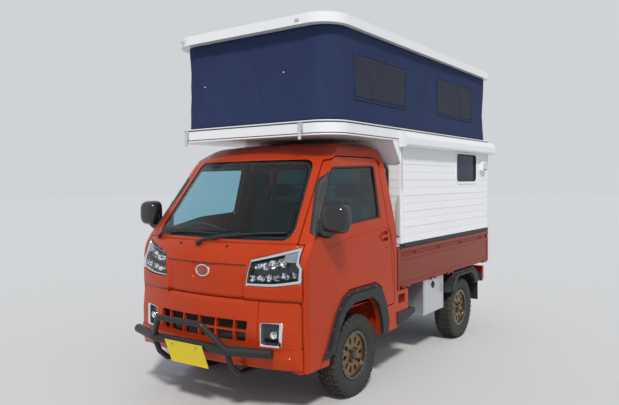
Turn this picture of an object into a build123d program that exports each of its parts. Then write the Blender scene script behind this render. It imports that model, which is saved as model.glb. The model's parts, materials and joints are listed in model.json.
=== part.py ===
from build123d import *
import math
import os

# A small cab-over truck with a pop-top camper body on its bed. Sizes are in millimetres.
# +X is the vehicle's left, -Y its front, +Z up, and the ground is z = 0.
# A station s is the distance behind the front of the bumper. Half widths are measured from the middle.

# Overall
BODY_LENGTH = 3395
BODY_HALF = 737.5
PLATE_WIDTH = 330
PLATE_HEIGHT = 165
PLATE_THICK = 2
PLATE_TILT = 21
PLATE_OUT = 104
PLATE_Z = 383
HOOP_OUT = 165
HOOP_R = 19
BAR_R = 30
LID_FRONT = 470
LID_REAR = BODY_LENGTH + 55
Y_BUMPER = HOOP_OUT + HOOP_R - (HOOP_OUT + HOOP_R + LID_REAR) / 2
SEAT_GAP = 0.3
PANEL_GAP = 6

# Wheels
FRONT_AXLE_S = 769
WHEELBASE = 1900
REAR_AXLE_S = FRONT_AXLE_S + WHEELBASE
TRACK_HALF = BODY_HALF - 85
TYRE_R = 278
TYRE_WIDTH = 155
RIM_FLANGE_R = 165
RIM_WIDTH = 118
HUB_END_X = 660.2
RIM_WINDOWS = 10
TYRE_LUGS = 30
LUG_DEPTH = 9
DIFF_R = 104
BALL_X = 610
BALL_Z = 172
KNUCKLE_LOW_Z = 196
KNUCKLE_TOP_Z = 366
STRUT_TOP_X = 530
STRUT_TOP_Z = 572

# Cab
SWEEP_R = 2001
NOSE_S = 29
SWEEP_S = NOSE_S + SWEEP_R
CAB_BACK_S = 1350
CAB_LOW_Z = 300
BELT_Z = 1080
NOSE_LOW_Z = 735
BONNET_Z = 952
NOSE_RECESS = 17
BADGE_POCKET = 6
COWL_S = 102
COWL_Z = 1084
SCREEN_TOP_Z = 1612
ROOF_Z = 1752
SHELL = 34
GLASS_SET = 5
GLASS = 5
DOOR_FRONT_S = 172
DOOR_REAR_S = 1305
DOOR_LOW_Z = 302
DOOR_SWING_GAP = 9
DOOR_PIN_X = BODY_HALF - 22.5
DOOR_PIN_S = 186
DOOR_PIN_R = 7
DOOR_HINGE_Z = (450, 780)
DOOR_HINGE_HALF = 12
FLOOR_Z = 400
FLOOR_HALF = BODY_HALF - 51.5
PLATFORM_Z = 600
PLATE = 8

# Bed
BED_FRONT_S = 1400
BED_WALL = 30
DECK_TOP_Z = 655
DECK = 25
GATE_LOW_Z = 645
GATE_TOP_Z = 945
GATE_FRONT_S = 1425
TAILGATE_S = BODY_LENGTH - BED_WALL
GATE_PIN_X = BODY_HALF + 7
GATE_PIN_Z = GATE_LOW_Z + 5
GATE_PIN_R = 6
GATE_LENGTH = TAILGATE_S - PANEL_GAP - GATE_FRONT_S
GATE_HINGES = (GATE_FRONT_S + 75, GATE_FRONT_S + 586, GATE_FRONT_S + 955, TAILGATE_S - 85)
GATE_HOOKS = (0.145, 0.384, 0.644, 0.915)
TAIL_HINGES = (-600, -220, 220, 600)
BED_MEMBERS = 6

# Frame
RAIL_X = 330
RAIL_WIDTH = 60
RAIL_LOW_Z = 440
RAIL_TOP_Z = 530
RAIL_DROP = 140
RAIL_END_S = BODY_LENGTH - 95
BED_MEMBER_HALF = 490
TOW_X = 200
TOW_S = BODY_LENGTH - 27
TOW_Z = 432
TOW_HOLE_R = 15

# Camper
CAMPER_HALF = BODY_HALF - 5.5
CAMPER_FRONT_S = 1438
CAMPER_REAR_S = TAILGATE_S + 27
CAMPER_WALL = 28
CAMPER_LOW_Z = 957
RIM_LOW_Z = 1768
RIM_TOP_Z = 1865
RIM_HALF = BODY_HALF - 1.5
RIM_FRONT_S = 500
RIM_REAR_S = TAILGATE_S + 59
RIM_CORNER = 180
LID_HALF = BODY_HALF + 2.5
LID_LOW_Z = 2490
LID_TOP_Z = 2555
LID_CORNER = 205
TENT_INSET = 34
TENT_SKIN = 10
CAMPER_DOOR_HALF = 290
CAMPER_DOOR_LOW_Z = 985
CAMPER_DOOR_TOP_Z = 1750
CAMPER_PIN_X = -CAMPER_DOOR_HALF - 6
CAMPER_PIN_S = CAMPER_REAR_S + 6
CAMPER_HINGE_Z = (1120, 1620)


def y_of(s):
    return Y_BUMPER + s


def outline(rows):
    """A closed plane face from rows of (across, up, corner radius)."""
    corners = []
    for index, (a, b, radius) in enumerate(rows):
        here = Vector(a, b)
        if radius == 0:
            corners.append((here, here, here))
            continue
        before = Vector(*rows[index - 1][:2]) - here
        after = Vector(*rows[(index + 1) % len(rows)][:2]) - here
        half = math.radians(before.get_angle(after)) / 2
        reach = min(radius / math.tan(half), 0.48 * before.length, 0.48 * after.length)
        radius = reach * math.tan(half)
        before, after = before.normalized(), after.normalized()
        middle = here + (before + after).normalized() * (radius / math.sin(half) - radius)
        corners.append((here + before * reach, middle, here + after * reach))
    edges = []
    for index, (start, middle, end) in enumerate(corners):
        if (end - start).length > 0:
            edges.append(ThreePointArc(start, middle, end))
        following = corners[(index + 1) % len(corners)][0]
        if (following - end).length > 1e-6:
            edges.append(Line(end, following))
    return make_face(edges)


def inset_face(face, inset):
    return offset(face, amount=-inset, kind=Kind.INTERSECTION) if inset else face


def along_x(rows, x0, x1, inset=0):
    """Extrude rows of (station, height, radius) from x0 to x1."""
    face = inset_face(outline([(y_of(s), z, r) for s, z, r in rows]), inset)
    return extrude(Plane.YZ.offset(x0) * face, x1 - x0)


def along_y(rows, s0, s1, inset=0):
    """Extrude rows of (x, height, radius) from station s0 to s1."""
    plane = Plane((0, y_of(s1), 0), x_dir=(1, 0, 0), z_dir=(0, -1, 0))
    return extrude(plane * inset_face(outline(rows), inset), s1 - s0)


def along_z(rows, z0, z1, inset=0):
    """Extrude rows of (x, station, radius) from z0 to z1."""
    face = inset_face(outline([(x, y_of(s), r) for x, s, r in rows]), inset)
    return extrude(Plane.XY.offset(z0) * face, z1 - z0)


def box(x0, x1, s0, s1, z0, z1):
    middle = Pos((x0 + x1) / 2, y_of((s0 + s1) / 2), (z0 + z1) / 2)
    return middle * Box(x1 - x0, s1 - s0, z1 - z0)


def rod_x(x0, x1, s, z, radius):
    return Pos((x0 + x1) / 2, y_of(s), z) * Rot(0, 90, 0) * Cylinder(radius, x1 - x0)


def rod_y(x, s0, s1, z, radius):
    return Pos(x, y_of((s0 + s1) / 2), z) * Rot(90, 0, 0) * Cylinder(radius, s1 - s0)


def rod_z(x, s, z0, z1, radius):
    return Pos(x, y_of(s), (z0 + z1) / 2) * Cylinder(radius, z1 - z0)


def bent_tube(points, bend, radius):
    """A round bar through points of (x, station, height), with equal bends."""
    path = FilletPolyline(*[(x, y_of(s), z) for x, s, z in points], radius=bend)
    start = Plane(path @ 0, z_dir=path % 0)
    return sweep(start * Circle(radius), path)


def mirrored(solid):
    return mirror(solid, about=Plane.YZ)


def pair(solid):
    return [solid, mirrored(solid)]


def symmetric(half):
    """Rows for both sides from rows of (x, other, radius) on the left, listed upwards or backwards."""
    return half + [(-x, v, r) for x, v, r in reversed(half)]


def swept(rows, inset=0):
    """Turn rows of (centreline station, height, radius) about the upright axis that curves the front."""
    face = inset_face(outline([(y_of(s), z, r) for s, z, r in rows]), inset)
    turned = Pos(0, 2 * y_of(SWEEP_S), 0) * Rot(0, 0, 180) * (Plane.YZ * face)
    return revolve(turned, Axis((0, y_of(SWEEP_S), 0), (0, 0, 1)), 360)


# Cab outlines: side (station, height, radius), front (x, height, radius), plan (x, station, radius)
CAB_SIDE = [
    (NOSE_S, 0, 0), (NOSE_S, 905, 220), (58, 1015, 120), (COWL_S, COWL_Z, 0), (512, 1632, 90),
    (690, 1722, 300), (930, ROOF_Z, 0), (1700, ROOF_Z, 0), (1700, 0, 0)]
CAB_REAR = [
    (-300, 0, 0), (CAB_BACK_S, 0, 0), (CAB_BACK_S, 1160, 0), (1330, 1720, 70), (1250, ROOF_Z + 8, 0),
    (-300, ROOF_Z + 8, 0)]
CAB_FRONT = symmetric([
    (BODY_HALF, 0, 0), (BODY_HALF, BELT_Z, 260), (BODY_HALF - 96.5, 1580, 110), (BODY_HALF - 139.5, 1692, 60),
    (BODY_HALF - 237.5, 1740, 280)])
CAB_PLAN = symmetric([
    (BODY_HALF - 137.5, -200, 0), (BODY_HALF - 97.5, 54, 0), (BODY_HALF, 195, 60), (BODY_HALF, 1700, 0)])


def cab_form(inset=0):
    form = swept(CAB_SIDE, inset) & along_y(CAB_FRONT, -400, 1800, inset)
    return form & along_x(CAB_REAR, -900, 900, inset) & along_z(CAB_PLAN, -100, 2000, inset)


# Door outline (station, height, radius), following the pillar, the roof and the wheel arch
DOOR = [
    (DOOR_FRONT_S, DOOR_LOW_Z, 12), (DOOR_FRONT_S, 1062, 40), (240, 1172, 0), (462, 1470, 60),
    (600, 1596, 90), (700, 1630, 60), (1240, 1630, 40), (1236, 1120, 120), (DOOR_REAR_S, 900, 120),
    (DOOR_REAR_S, 549, 20), (1186, 549, 10), (1172, 600, 20), (1112, 702, 40), (1022, 748, 60),
    (664, 746, 60), (568, 706, 30), (486, 612, 30), (387, 425, 30), (329, 352, 30), (318, DOOR_LOW_Z, 12)]
SIDE_GLASS = [
    (262, 1120, 20), (420, 1352, 0), (500, 1470, 50), (610, 1560, 60), (1180, 1580, 30), (1146, 1198, 20),
    (740, 1176, 60), (460, 1118, 60)]
DOOR_CREASE = [
    (421, 1046, 0), (744, 1104, 60), (1178, 1130, 30), (1250, 1092, 20), (1275, 871, 0), (1297, 652, 0),
    (1289, 652, 0), (1267, 869, 0), (1242, 1086, 12), (1172, 1122, 22), (746, 1096, 60), (423, 1038, 0)]
SCREEN = symmetric([(608, COWL_Z + 14, 60), (520, SCREEN_TOP_Z, 70)])
REAR_SCREEN = symmetric([(430, 1200, 50), (400, 1560, 50)])

# Wheel arch lips: outer and inner edge (station, height, radius)
FRONT_FLARE = [
    (338, 345, 0), (398, 420, 40), (494, 606, 30), (578, 696, 30), (664, 734, 60), (1018, 736, 60),
    (1104, 690, 40), (1166, 580, 30), (1204, 450, 30), (1186, 345, 0)]
FRONT_ARCH = [
    (380, 200, 0), (430, 345, 0), (505, 510, 60), (584, 610, 60), (690, 655, 80), (940, 655, 80), (1030, 590, 60),
    (1080, 470, 40), (1095, 345, 0), (1110, 200, 0)]
REAR_FLARE_TOP_Z = DECK_TOP_Z - DECK - SEAT_GAP
REAR_FLARE = [(REAR_AXLE_S + back, z, r) for back, z, r in (
    (-331, 470, 0), (-269, 560, 40), (-194, REAR_FLARE_TOP_Z, 30), (291, REAR_FLARE_TOP_Z, 30), (371, 570, 40),
    (423, 470, 0))]
REAR_ARCH = [(REAR_AXLE_S + back, z, r) for back, z, r in (
    (-269, 400, 0), (-207, 530, 60), (-139, 592, 60), (181, 592, 60), (271, 520, 60), (351, 400, 0))]
SILL_TRIM = [
    (1350.3, 379, 6), (1350.3, 469.7, 0), (1577, 469.7, 10), (1643, 462, 10), (1660, 425, 10),
    (1495, 385, 20)]
FLARE_OUT = 28
FLARE_FLANGE = 8
HEADLAMP = [(353, 822, 14), (381, 983, 14), (588, 1035, 60), (706, 1068, 12), (732, 852, 12), (544, 820, 80)]
LAMP_CUPS = [  # x, height, radius
    (450, 945, 30), (530, 962, 31), (612, 980, 32), (420, 872, 26), (492, 874, 27), (564, 878, 28), (638, 886, 29)]
NOSE_PANEL = symmetric([(334, 600, 0), (346, NOSE_LOW_Z, 0), (340, 822, 0), (366, 983, 0)])
NOSE_PANEL_S = 56
BADGE_PAD = symmetric([(96, 838, 14), (96, 1000, 0)])
BUMPER_SIDE = [  # station, height, radius
    (95, CAB_LOW_Z, 10), (22, 322, 25), (0, 400, 120), (0, 560, 200), (NOSE_S, NOSE_LOW_Z - 4, 0),
    (300, NOSE_LOW_Z - 4, 0), (300, CAB_LOW_Z, 0)]
SHELF = [(18, NOSE_LOW_Z - 34, 0), (NOSE_S + 16, NOSE_LOW_Z - 4, 0), (0, NOSE_LOW_Z + 6, 0)]
BUMPER_STEP = 9
BUMPER_MIDDLE = symmetric([(453, 452, 0), (438, 900, 0)])
BUMPER_FRONT = symmetric([(BODY_HALF - 12, 0, 0), (BODY_HALF - 2, 420, 100), (BODY_HALF - 2, 900, 0)])
BUMPER_WALL = 26
GRILLE = symmetric([(372, 478, 20), (384, 608, 12)])
GRILLE_COLUMNS = 6
GRILLE_PITCH = 143
GRILLE_BAR = 12
FOG = [(463, 458, 14), (460, 604, 14), (612, 610, 14), (603, 456, 14)]
FOG_LENS = (560, 533, 40)
PLATE_PLACE = Pos(0, y_of(-PLATE_OUT), PLATE_Z) * Rot(PLATE_TILT, 0, 0)


def bumper_form(inset=0, step=0):
    """The bumper's outer form; a step sets its front back without lowering its top."""
    side = [(s if s == 300 else s + step, z, r) for s, z, r in BUMPER_SIDE]
    form = swept(side, inset) & along_y(BUMPER_FRONT, -400, 400, inset)
    plan = symmetric([
        (BODY_HALF - 137.5, -200, 0), (BODY_HALF - 97.5, 54 + step, 0), (BODY_HALF - 2, 192 + step, 60),
        (BODY_HALF - 2, 900, 0)])
    return form & along_z(plan, 0, 900, inset)


def door_space(grown):
    """The door's prism through the cab side, clear of the pillar beside the windscreen."""
    wedge = [
        (BODY_HALF - 82.5, 0, 0), (BODY_HALF - 82.5, BELT_Z, 0), (BODY_HALF - 155.5, 1600, 0),
        (BODY_HALF - 177.5, 1750, 0), (BODY_HALF + 160, 1750, 0), (BODY_HALF + 160, 0, 0)]
    return along_x(DOOR, 540, BODY_HALF + 82.5, -grown) & along_y(wedge, 0, 1500, -grown)


def door_hinge(z, grown=0):
    """One fixed hinge arm, which reaches from the bulkhead's side round the pin."""
    low, high = z - DOOR_HINGE_HALF - grown, z + DOOR_HINGE_HALF + grown
    if grown:
        return box(FLOOR_HALF - 6, BODY_HALF + 20, DOOR_FRONT_S - 12, DOOR_PIN_S + 12, low, high) & cab_form(4)
    arm = box(FLOOR_HALF - 2, FLOOR_HALF + 14, 174, 194, low, high)
    arm += box(FLOOR_HALF - 2, DOOR_PIN_X, 182, 194, low, high)
    return arm + rod_z(DOOR_PIN_X, DOOR_PIN_S, low, high, DOOR_PIN_R)


def cab_pieces():
    """Split the hollow cab where its panels meet."""
    shell = cab_form() - cab_form(SHELL)
    shell &= box(-900, 900, -200, 1500, CAB_LOW_Z, 2000)
    for side in pair(door_space(DOOR_SWING_GAP)) + pair(along_x(FRONT_ARCH, 640, 900)):
        shell -= side
    for side in pair(box(640, 900, 1090, 1400, 0, 352)):
        shell -= side
    shell -= along_y(SCREEN, -100, 800) + along_y(REAR_SCREEN, 1200, 1500)
    split_s = DOOR_FRONT_S - DOOR_SWING_GAP
    roof = shell & box(-900, 900, 0, 1500, SCREEN_TOP_Z, 2000)
    below = shell & box(-900, 900, 0, 1500, 0, SCREEN_TOP_Z)
    nose = below & box(-900, 900, -100, 700, NOSE_LOW_Z, COWL_Z)
    for side in pair(box(640, 900, split_s, 800, 0, COWL_Z)):
        nose -= side
    back = below & box(-640, 640, 1280, 1500, PLATFORM_Z, 2000)
    pillars = below & (box(-900, 900, 0, 900, COWL_Z, 2000) + box(640, 900, 900, 1500, 0, 2000)
                       + box(-900, -640, 900, 1500, 0, 2000))
    arches = below & (box(640, 900, split_s, 900, 0, 760) + box(-900, -640, split_s, 900, 0, 760))
    return nose, roof, back, pillars + arches


def keep_large(shape, least=20000):
    return [solid for solid in shape.solids() if solid.volume > least]


def slice_form(outer, inner):
    return cab_form(outer) - cab_form(inner)


def corner_panel():
    """The rear corner below the bed's front, with its square vent."""
    panel = box(BODY_HALF - SHELL, BODY_HALF, CAB_BACK_S, 1540, 470, 628)
    return panel - box(600, BODY_HALF + 60, 1376, 1490, 532, 598)


def nose_recess():
    """The sunk panel between the lamps with its bevelled sides, the badge's pocket, and the bonnet line."""
    plane = Plane((0, y_of(NOSE_PANEL_S), 0), x_dir=(1, 0, 0), z_dir=(0, 1, 0))
    mirrored_rows = [(-x, z, r) for x, z, r in NOSE_PANEL]
    prism = along_y(NOSE_PANEL, -50, NOSE_PANEL_S) + extrude(plane * outline(mirrored_rows), 50, taper=50)
    prism &= box(-400, 400, -50, 200, NOSE_LOW_Z - 5, BONNET_Z)
    panel = prism & slice_form(-2, NOSE_RECESS)
    pocket = along_y(BADGE_PAD, -100, 200) & slice_form(-2, NOSE_RECESS + BADGE_POCKET)
    return panel + (pocket & box(-400, 400, -50, 200, NOSE_LOW_Z, BONNET_Z))


def make_cab():
    nose, roof, back, sides = cab_pieces()
    for cut in pair(along_y(HEADLAMP, -100, 400, -SEAT_GAP)) + [nose_recess()]:
        nose -= cut
    side_solids = []
    for solid in keep_large(sides):
        centre = solid.center()
        low_rear = centre.Y > y_of(500) and centre.Z < 1300
        if low_rear:
            solid = solid + (corner_panel() if centre.X > 0 else mirrored(corner_panel()))
        side_solids += solid.solids()
    glass = slice_form(GLASS_SET, GLASS_SET + GLASS)
    screens = (glass & along_y(SCREEN, -100, 800, SEAT_GAP)) + (glass & along_y(REAR_SCREEN, 1200, 1500, SEAT_GAP))
    return {
        "cab_nose": keep_large(nose), "cab_roof": keep_large(roof), "cab_back": keep_large(back),
        "cab_sides": side_solids, "cab_glass": keep_large(screens)}


def make_doors():
    shell = cab_form() - cab_form(SHELL)
    door = shell & door_space(0)
    door -= box(500, BODY_HALF - SHELL - 8, 0, 300, 0, BELT_Z)
    door -= along_x(SIDE_GLASS, 400, 900)
    door -= along_x(DOOR_CREASE, 600, BODY_HALF + 60) & slice_form(-2, 3)
    for z in DOOR_HINGE_Z:
        door -= door_hinge(z, SEAT_GAP)
    door -= along_x([(1104, 1028, 18), (1104, 1098, 18), (1216, 1098, 18), (1216, 1028, 18)], BODY_HALF - 16, 900)
    door += box(BODY_HALF - 4, BODY_HALF + 9, 1098, 1222, 1052, 1074)
    pane = slice_form(GLASS_SET + 8, GLASS_SET + 8 + GLASS) & along_x(SIDE_GLASS, 560, BODY_HALF + 82.5, SEAT_GAP)
    pane &= door_space(0)
    housing = along_y([(BODY_HALF + 34.5, 1138, 22), (BODY_HALF + 30.5, 1330, 40), (BODY_HALF + 187.5, 1322, 45),
                       (BODY_HALF + 194.5, 1140, 30)], 290, 375)
    arm = box(BODY_HALF + 0.5, BODY_HALF + 62.5, 318, 350, 1120, 1150)
    arm += along_x([(262, 1098, 8), (262, 1150, 8), (380, 1270, 8), (400, 1112, 8)], BODY_HALF - 6.5, BODY_HALF + 8.5)
    mirror_unit = (housing + arm) - cab_form(-0.4)
    left = {
        "door_left": keep_large(door), "door_glass_left": keep_large(pane, 1000),
        "mirror_left": keep_large(mirror_unit, 1000)}
    right = {}
    for name, solids in left.items():
        right[name.replace("left", "right")] = [mirrored(solid) for solid in solids]
    return left | right


def make_front():
    middle = along_y(BUMPER_MIDDLE, -100, 400) + box(-900, 900, -100, 400, 0, 452)
    middle -= swept(SHELF) & along_y(NOSE_PANEL, -100, 200)
    corners = bumper_form(0, BUMPER_STEP) - along_y(BUMPER_MIDDLE, -100, 400)
    bumper = (bumper_form() & middle) + corners - bumper_form(BUMPER_WALL)
    bumper -= box(-650, 650, 95, 300, 0, 400)
    bumper &= box(-900, 900, -50, DOOR_FRONT_S - DOOR_SWING_GAP, 0, 900)
    opening = along_y(GRILLE, -100, 300)
    bumper -= opening
    fog = along_y(FOG, -100, 400)
    for cut in pair(fog):
        bumper -= cut
    bars = box(-390, 390, -20, 80, 545 - GRILLE_BAR / 2, 545 + GRILLE_BAR / 2)
    for column in range(1, GRILLE_COLUMNS):
        x = GRILLE_PITCH * (column - GRILLE_COLUMNS / 2)
        bars += box(x - GRILLE_BAR / 2, x + GRILLE_BAR / 2, -20, 80, 470, 615)
    lattice = (bumper_form(4) - bumper_form(BUMPER_WALL)) & bars & opening
    bumper += lattice
    lamp = slice_form(2, 60) & along_y(HEADLAMP, -100, 400, SEAT_GAP)
    lamp -= slice_form(1, 14) & along_y(HEADLAMP, -100, 400, 14)
    for x, z, radius in LAMP_CUPS:
        lamp += rod_y(x, -50, 300, z, radius) & slice_form(5, 20)
    lamp &= box(300, 900, -50, DOOR_FRONT_S - DOOR_SWING_GAP, 0, 1200)
    fog_lamp = (bumper_form(3, BUMPER_STEP) - bumper_form(60)) & along_y(FOG, -100, 400, SEAT_GAP)
    fog_lamp -= (bumper_form(2, BUMPER_STEP) - bumper_form(14, BUMPER_STEP)) & along_y(FOG, -100, 400, 14)
    fog_lamp += rod_y(FOG_LENS[0], -50, 300, FOG_LENS[1], FOG_LENS[2]) & (bumper_form(5, BUMPER_STEP) - bumper_form(30))
    fog_lamp &= box(300, 900, -50, DOOR_FRONT_S - DOOR_SWING_GAP - 4, 0, 1200)
    radiator = box(-330, 330, 105, 150, RAIL_TOP_Z - RAIL_DROP + 5, 585)
    return {
        "front_bumper": keep_large(bumper), "headlamps": pair(keep_large(lamp)[0]),
        "fog_lamps": pair(keep_large(fog_lamp, 1000)[0]), "radiator": [radiator]}


def make_bull_bar():
    """A bent main tube with an upper hoop, two lower legs, side braces and the plate's backing."""
    main = bent_tube([(-600, 13, 444), (-320, -84, 444), (320, -84, 444), (600, 13, 444)], 150, BAR_R)
    hoop = bent_tube([(-322, -86, 450), (-190, -HOOP_OUT, 603), (190, -HOOP_OUT, 603), (322, -86, 450)], 40, HOOP_R)
    bar = main + hoop
    for x in (-322, 322):
        bar += bent_tube([(x, -84, 440), (x, -42, 340), (x, 30, 276), (x, 250, 276)], 45, HOOP_R - 1)
        bar += box(x - 25, x + 25, 190, 250, 285, RAIL_LOW_Z - RAIL_DROP)
    bar += PLATE_PLACE * Pos(0, PLATE_THICK / 2 + 3, 0) * Box(300, 6, 140)
    for x in (-100, 100):
        bar += PLATE_PLACE * Pos(x, 20, 45) * Box(30, 32, 30)
    return bar


def make_plates():
    front = PLATE_PLACE * Box(PLATE_WIDTH, PLATE_THICK, PLATE_HEIGHT)
    rear_s = BODY_LENGTH - 39
    rear = box(-PLATE_WIDTH / 2, PLATE_WIDTH / 2, rear_s, rear_s + PLATE_THICK, 425, 425 + PLATE_HEIGHT)
    return [front, rear]


def make_tail_lamps():
    return pair(box(BODY_HALF - 267.5, BODY_HALF - 37.5, BODY_LENGTH - 55, BODY_LENGTH - 23, 450, 590))


def make_interior():
    inside = cab_form(SHELL + 6)
    bulkhead = box(-FLOOR_HALF, FLOOR_HALF, 174, 174 + PLATE, FLOOR_Z - PLATE, 850)
    bulkhead += box(-300, 300, 174, 174 + PLATE, 840, 1040.6 - SEAT_GAP)
    for z in DOOR_HINGE_Z:
        for arm in pair(door_hinge(z)):
            bulkhead += arm
    pan = box(-FLOOR_HALF, FLOOR_HALF, 174 + PLATE + SEAT_GAP, 440, FLOOR_Z - PLATE, FLOOR_Z)
    riser = box(-FLOOR_HALF, FLOOR_HALF, 440 - PLATE, 440, FLOOR_Z + SEAT_GAP, PLATFORM_Z - SEAT_GAP)
    platform = box(-FLOOR_HALF, FLOOR_HALF, 440 - PLATE, 1310, PLATFORM_Z, PLATFORM_Z + PLATE)
    under = PLATFORM_Z - SEAT_GAP
    cheeks = pair(box(390, 398, 440 + SEAT_GAP, 1102 - SEAT_GAP, 380, under))
    walls = pair(box(390, FLOOR_HALF, 1102, 1110, 380, under))
    floor = [bulkhead, pan, riser, platform] + cheeks + walls
    tunnel = box(-250, 250, 800, 1300, PLATFORM_Z + PLATE, 700) - box(-242, 242, 808, 1292, 500, 692)
    dash = along_x([(90, 851, 0), (330, 815, 30), (400, 900, 40), (385, 1060, 40), (300, 1092, 30),
                    (120, 1088, 0)], -690, 690) & inside
    dash -= along_x([(60, 700, 0), (270, 835, 20), (340, 905, 20), (320, 1030, 20), (60, 1050, 0)], -660, 660)
    dash -= box(-700, 700, 160, 190, 700, 851)
    wheel_at = Pos(-340, y_of(500), 1075) * Rot(-32, 0, 0)
    ring = wheel_at * revolve(Plane.XZ * Pos(182, 0) * RegularPolygon(13, 8), Axis.Z, 360)
    hub = wheel_at * Cylinder(45, 30)
    spokes = wheel_at * (Pos(0, 0, -6) * Box(364, 26, 10))
    column = wheel_at * (Pos(0, 0, -135) * Cylinder(20, 245))
    steering_wheel = ring + hub + spokes
    steering_wheel += column
    dash -= wheel_at * (Pos(0, 0, -135) * Cylinder(20 + SEAT_GAP, 400))
    seats = []
    for x in (-350, 350):
        low = PLATFORM_Z + PLATE + 100 + SEAT_GAP
        seats.append(along_x([(740, low, 20), (735, 800, 40), (1000, 815, 0), (1170, 815, 30), (1180, low, 10)],
                             x - 235, x + 235))
        back_low = 815 + SEAT_GAP
        seats.append(along_x([(1120, back_low, 12), (1192, back_low, 20), (1290, 1330, 30), (1210, 1345, 30)],
                             x - 225, x + 225))
    base = [tunnel]
    for x0, x1 in ((251, 575), (-575, -251)):
        base.append(box(x0, x1, 760, 1170, PLATFORM_Z + PLATE, PLATFORM_Z + PLATE + 100))
    return floor, dash, steering_wheel, seats, base


def gate_section(low, high, thick):
    """Ribbed gate profile: (out, up, radius), outer face at out = 0."""
    return [
        (-thick, low, 0), (0, low, 3), (0, low + 16, 2), (-5, low + 20, 0), (-5, low + 40, 0), (0, low + 44, 2),
        (0, low + 56, 2), (-5, low + 60, 0), (-5, high - 92, 0), (0, high - 88, 2), (0, high - 66, 2),
        (-13, high - 60, 0), (-13, high - 34, 0), (0, high - 28, 2), (0, high, 4), (-thick, high, 3)]


def side_gate():
    rows = [(BODY_HALF + out, z, r) for out, z, r in gate_section(GATE_LOW_Z, GATE_TOP_Z, BED_WALL)]
    gate = along_y(rows, GATE_FRONT_S, GATE_FRONT_S + GATE_LENGTH)
    hooks = []
    for part in GATE_HOOKS:
        s = GATE_FRONT_S + part * GATE_LENGTH
        hooks.append(box(BODY_HALF - 14, BODY_HALF, s - 7, s + 7, 882, 900))
    for s in GATE_HINGES:
        hooks.append(box(BODY_HALF - 1, GATE_PIN_X, s - 28, s + 28, GATE_LOW_Z, GATE_PIN_Z + GATE_PIN_R))
        hooks.append(rod_y(GATE_PIN_X, s - 28, s + 28, GATE_PIN_Z, GATE_PIN_R))
    for piece in hooks:
        gate += piece
    return gate


def tailgate():
    rows = [(BODY_LENGTH + out, z, r) for out, z, r in gate_section(GATE_LOW_Z, GATE_TOP_Z, BED_WALL)]
    gate = along_x(rows, -BODY_HALF, BODY_HALF)
    for x in TAIL_HINGES:
        gate += box(x - 28, x + 28, BODY_LENGTH - 1, BODY_LENGTH + 7, GATE_LOW_Z, GATE_PIN_Z + GATE_PIN_R)
        gate += rod_x(x - 28, x + 28, BODY_LENGTH + 7, GATE_PIN_Z, GATE_PIN_R)
    return gate


def make_bed():
    low = DECK_TOP_Z - DECK
    half = BODY_HALF - BED_WALL - 7
    deck = box(-half, half, BED_FRONT_S, TAILGATE_S - PANEL_GAP, low, DECK_TOP_Z)
    members = []
    for index in range(BED_MEMBERS):
        s = BED_FRONT_S + 50 + (RAIL_END_S - BED_FRONT_S - 50) * index / (BED_MEMBERS - 1)
        members.append(box(-BED_MEMBER_HALF, BED_MEMBER_HALF, s - 25, s + 25, RAIL_TOP_Z, low - SEAT_GAP))
    for s in GATE_HINGES:
        for end in (-42 - SEAT_GAP, 42 + SEAT_GAP):
            strap = box(half - 10, GATE_PIN_X, s + end - 14, s + end + 14, 636, GATE_LOW_Z - 1.5)
            strap += rod_y(GATE_PIN_X, s + end - 14, s + end + 14, GATE_PIN_Z, GATE_PIN_R)
            strap += box(GATE_PIN_X - 4, GATE_PIN_X + 4, s + end - 14, s + end + 14, 636, GATE_PIN_Z)
            deck += strap
            deck += mirrored(strap)
    for x in TAIL_HINGES:
        for end in (-42 - SEAT_GAP, 42 + SEAT_GAP):
            pin_s = BODY_LENGTH + 7
            deck += box(x + end - 14, x + end + 14, TAILGATE_S - PANEL_GAP - 10, pin_s, 636, GATE_LOW_Z - 1.5)
            deck += rod_x(x + end - 14, x + end + 14, pin_s, GATE_PIN_Z, GATE_PIN_R)
            deck += box(x + end - 14, x + end + 14, pin_s - 4, pin_s + 4, 636, GATE_PIN_Z)
    board = box(-BODY_HALF, BODY_HALF, BED_FRONT_S - 25, BED_FRONT_S, low, GATE_TOP_Z + 8)
    for post in pair(box(BODY_HALF - BED_WALL - 4, BODY_HALF, BED_FRONT_S, GATE_FRONT_S - PANEL_GAP, 660, 940)):
        board += post
    guard = bent_tube([(-640, 1388, 953), (-640, 1388, 1600), (640, 1388, 1600), (640, 1388, 953)], 60, 12)
    for z in (1120, 1280, 1440):
        guard += rod_x(-640, 640, 1388, z, 7)
    return [deck] + members, board, guard


def make_flares():
    top = BODY_HALF + FLARE_OUT
    flange = BODY_HALF + FLARE_FLANGE
    outside = BODY_HALF + 60
    front = along_x(FRONT_FLARE, BODY_HALF, flange) + along_x(FRONT_FLARE, BODY_HALF, top, 24)
    front -= along_x(FRONT_ARCH, 640, outside)
    rim = along_x(REAR_FLARE, BODY_HALF - 6, flange) + along_x(REAR_FLARE, BODY_HALF - 6, top, 18)
    rim -= along_x(REAR_ARCH, 640, outside)
    skin = along_x(REAR_FLARE, 565, BODY_HALF) - along_x(REAR_FLARE, 500, outside, 10)
    skin -= box(500, outside, REAR_AXLE_S - 319, REAR_AXLE_S + 411, 0, 480)
    flap = box(585, BODY_HALF, REAR_AXLE_S + 415, REAR_AXLE_S + 423, 290, 500)
    rear = rim + skin + flap
    trim = along_x(SILL_TRIM, 700, BODY_HALF + 8)
    return pair(front) + pair(rear) + pair(trim)


def lathe_x(rows):
    """Turn rows of (x, radius, corner) about the X axis."""
    face = outline(rows)
    return revolve(face, Axis.X, 360)


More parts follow.
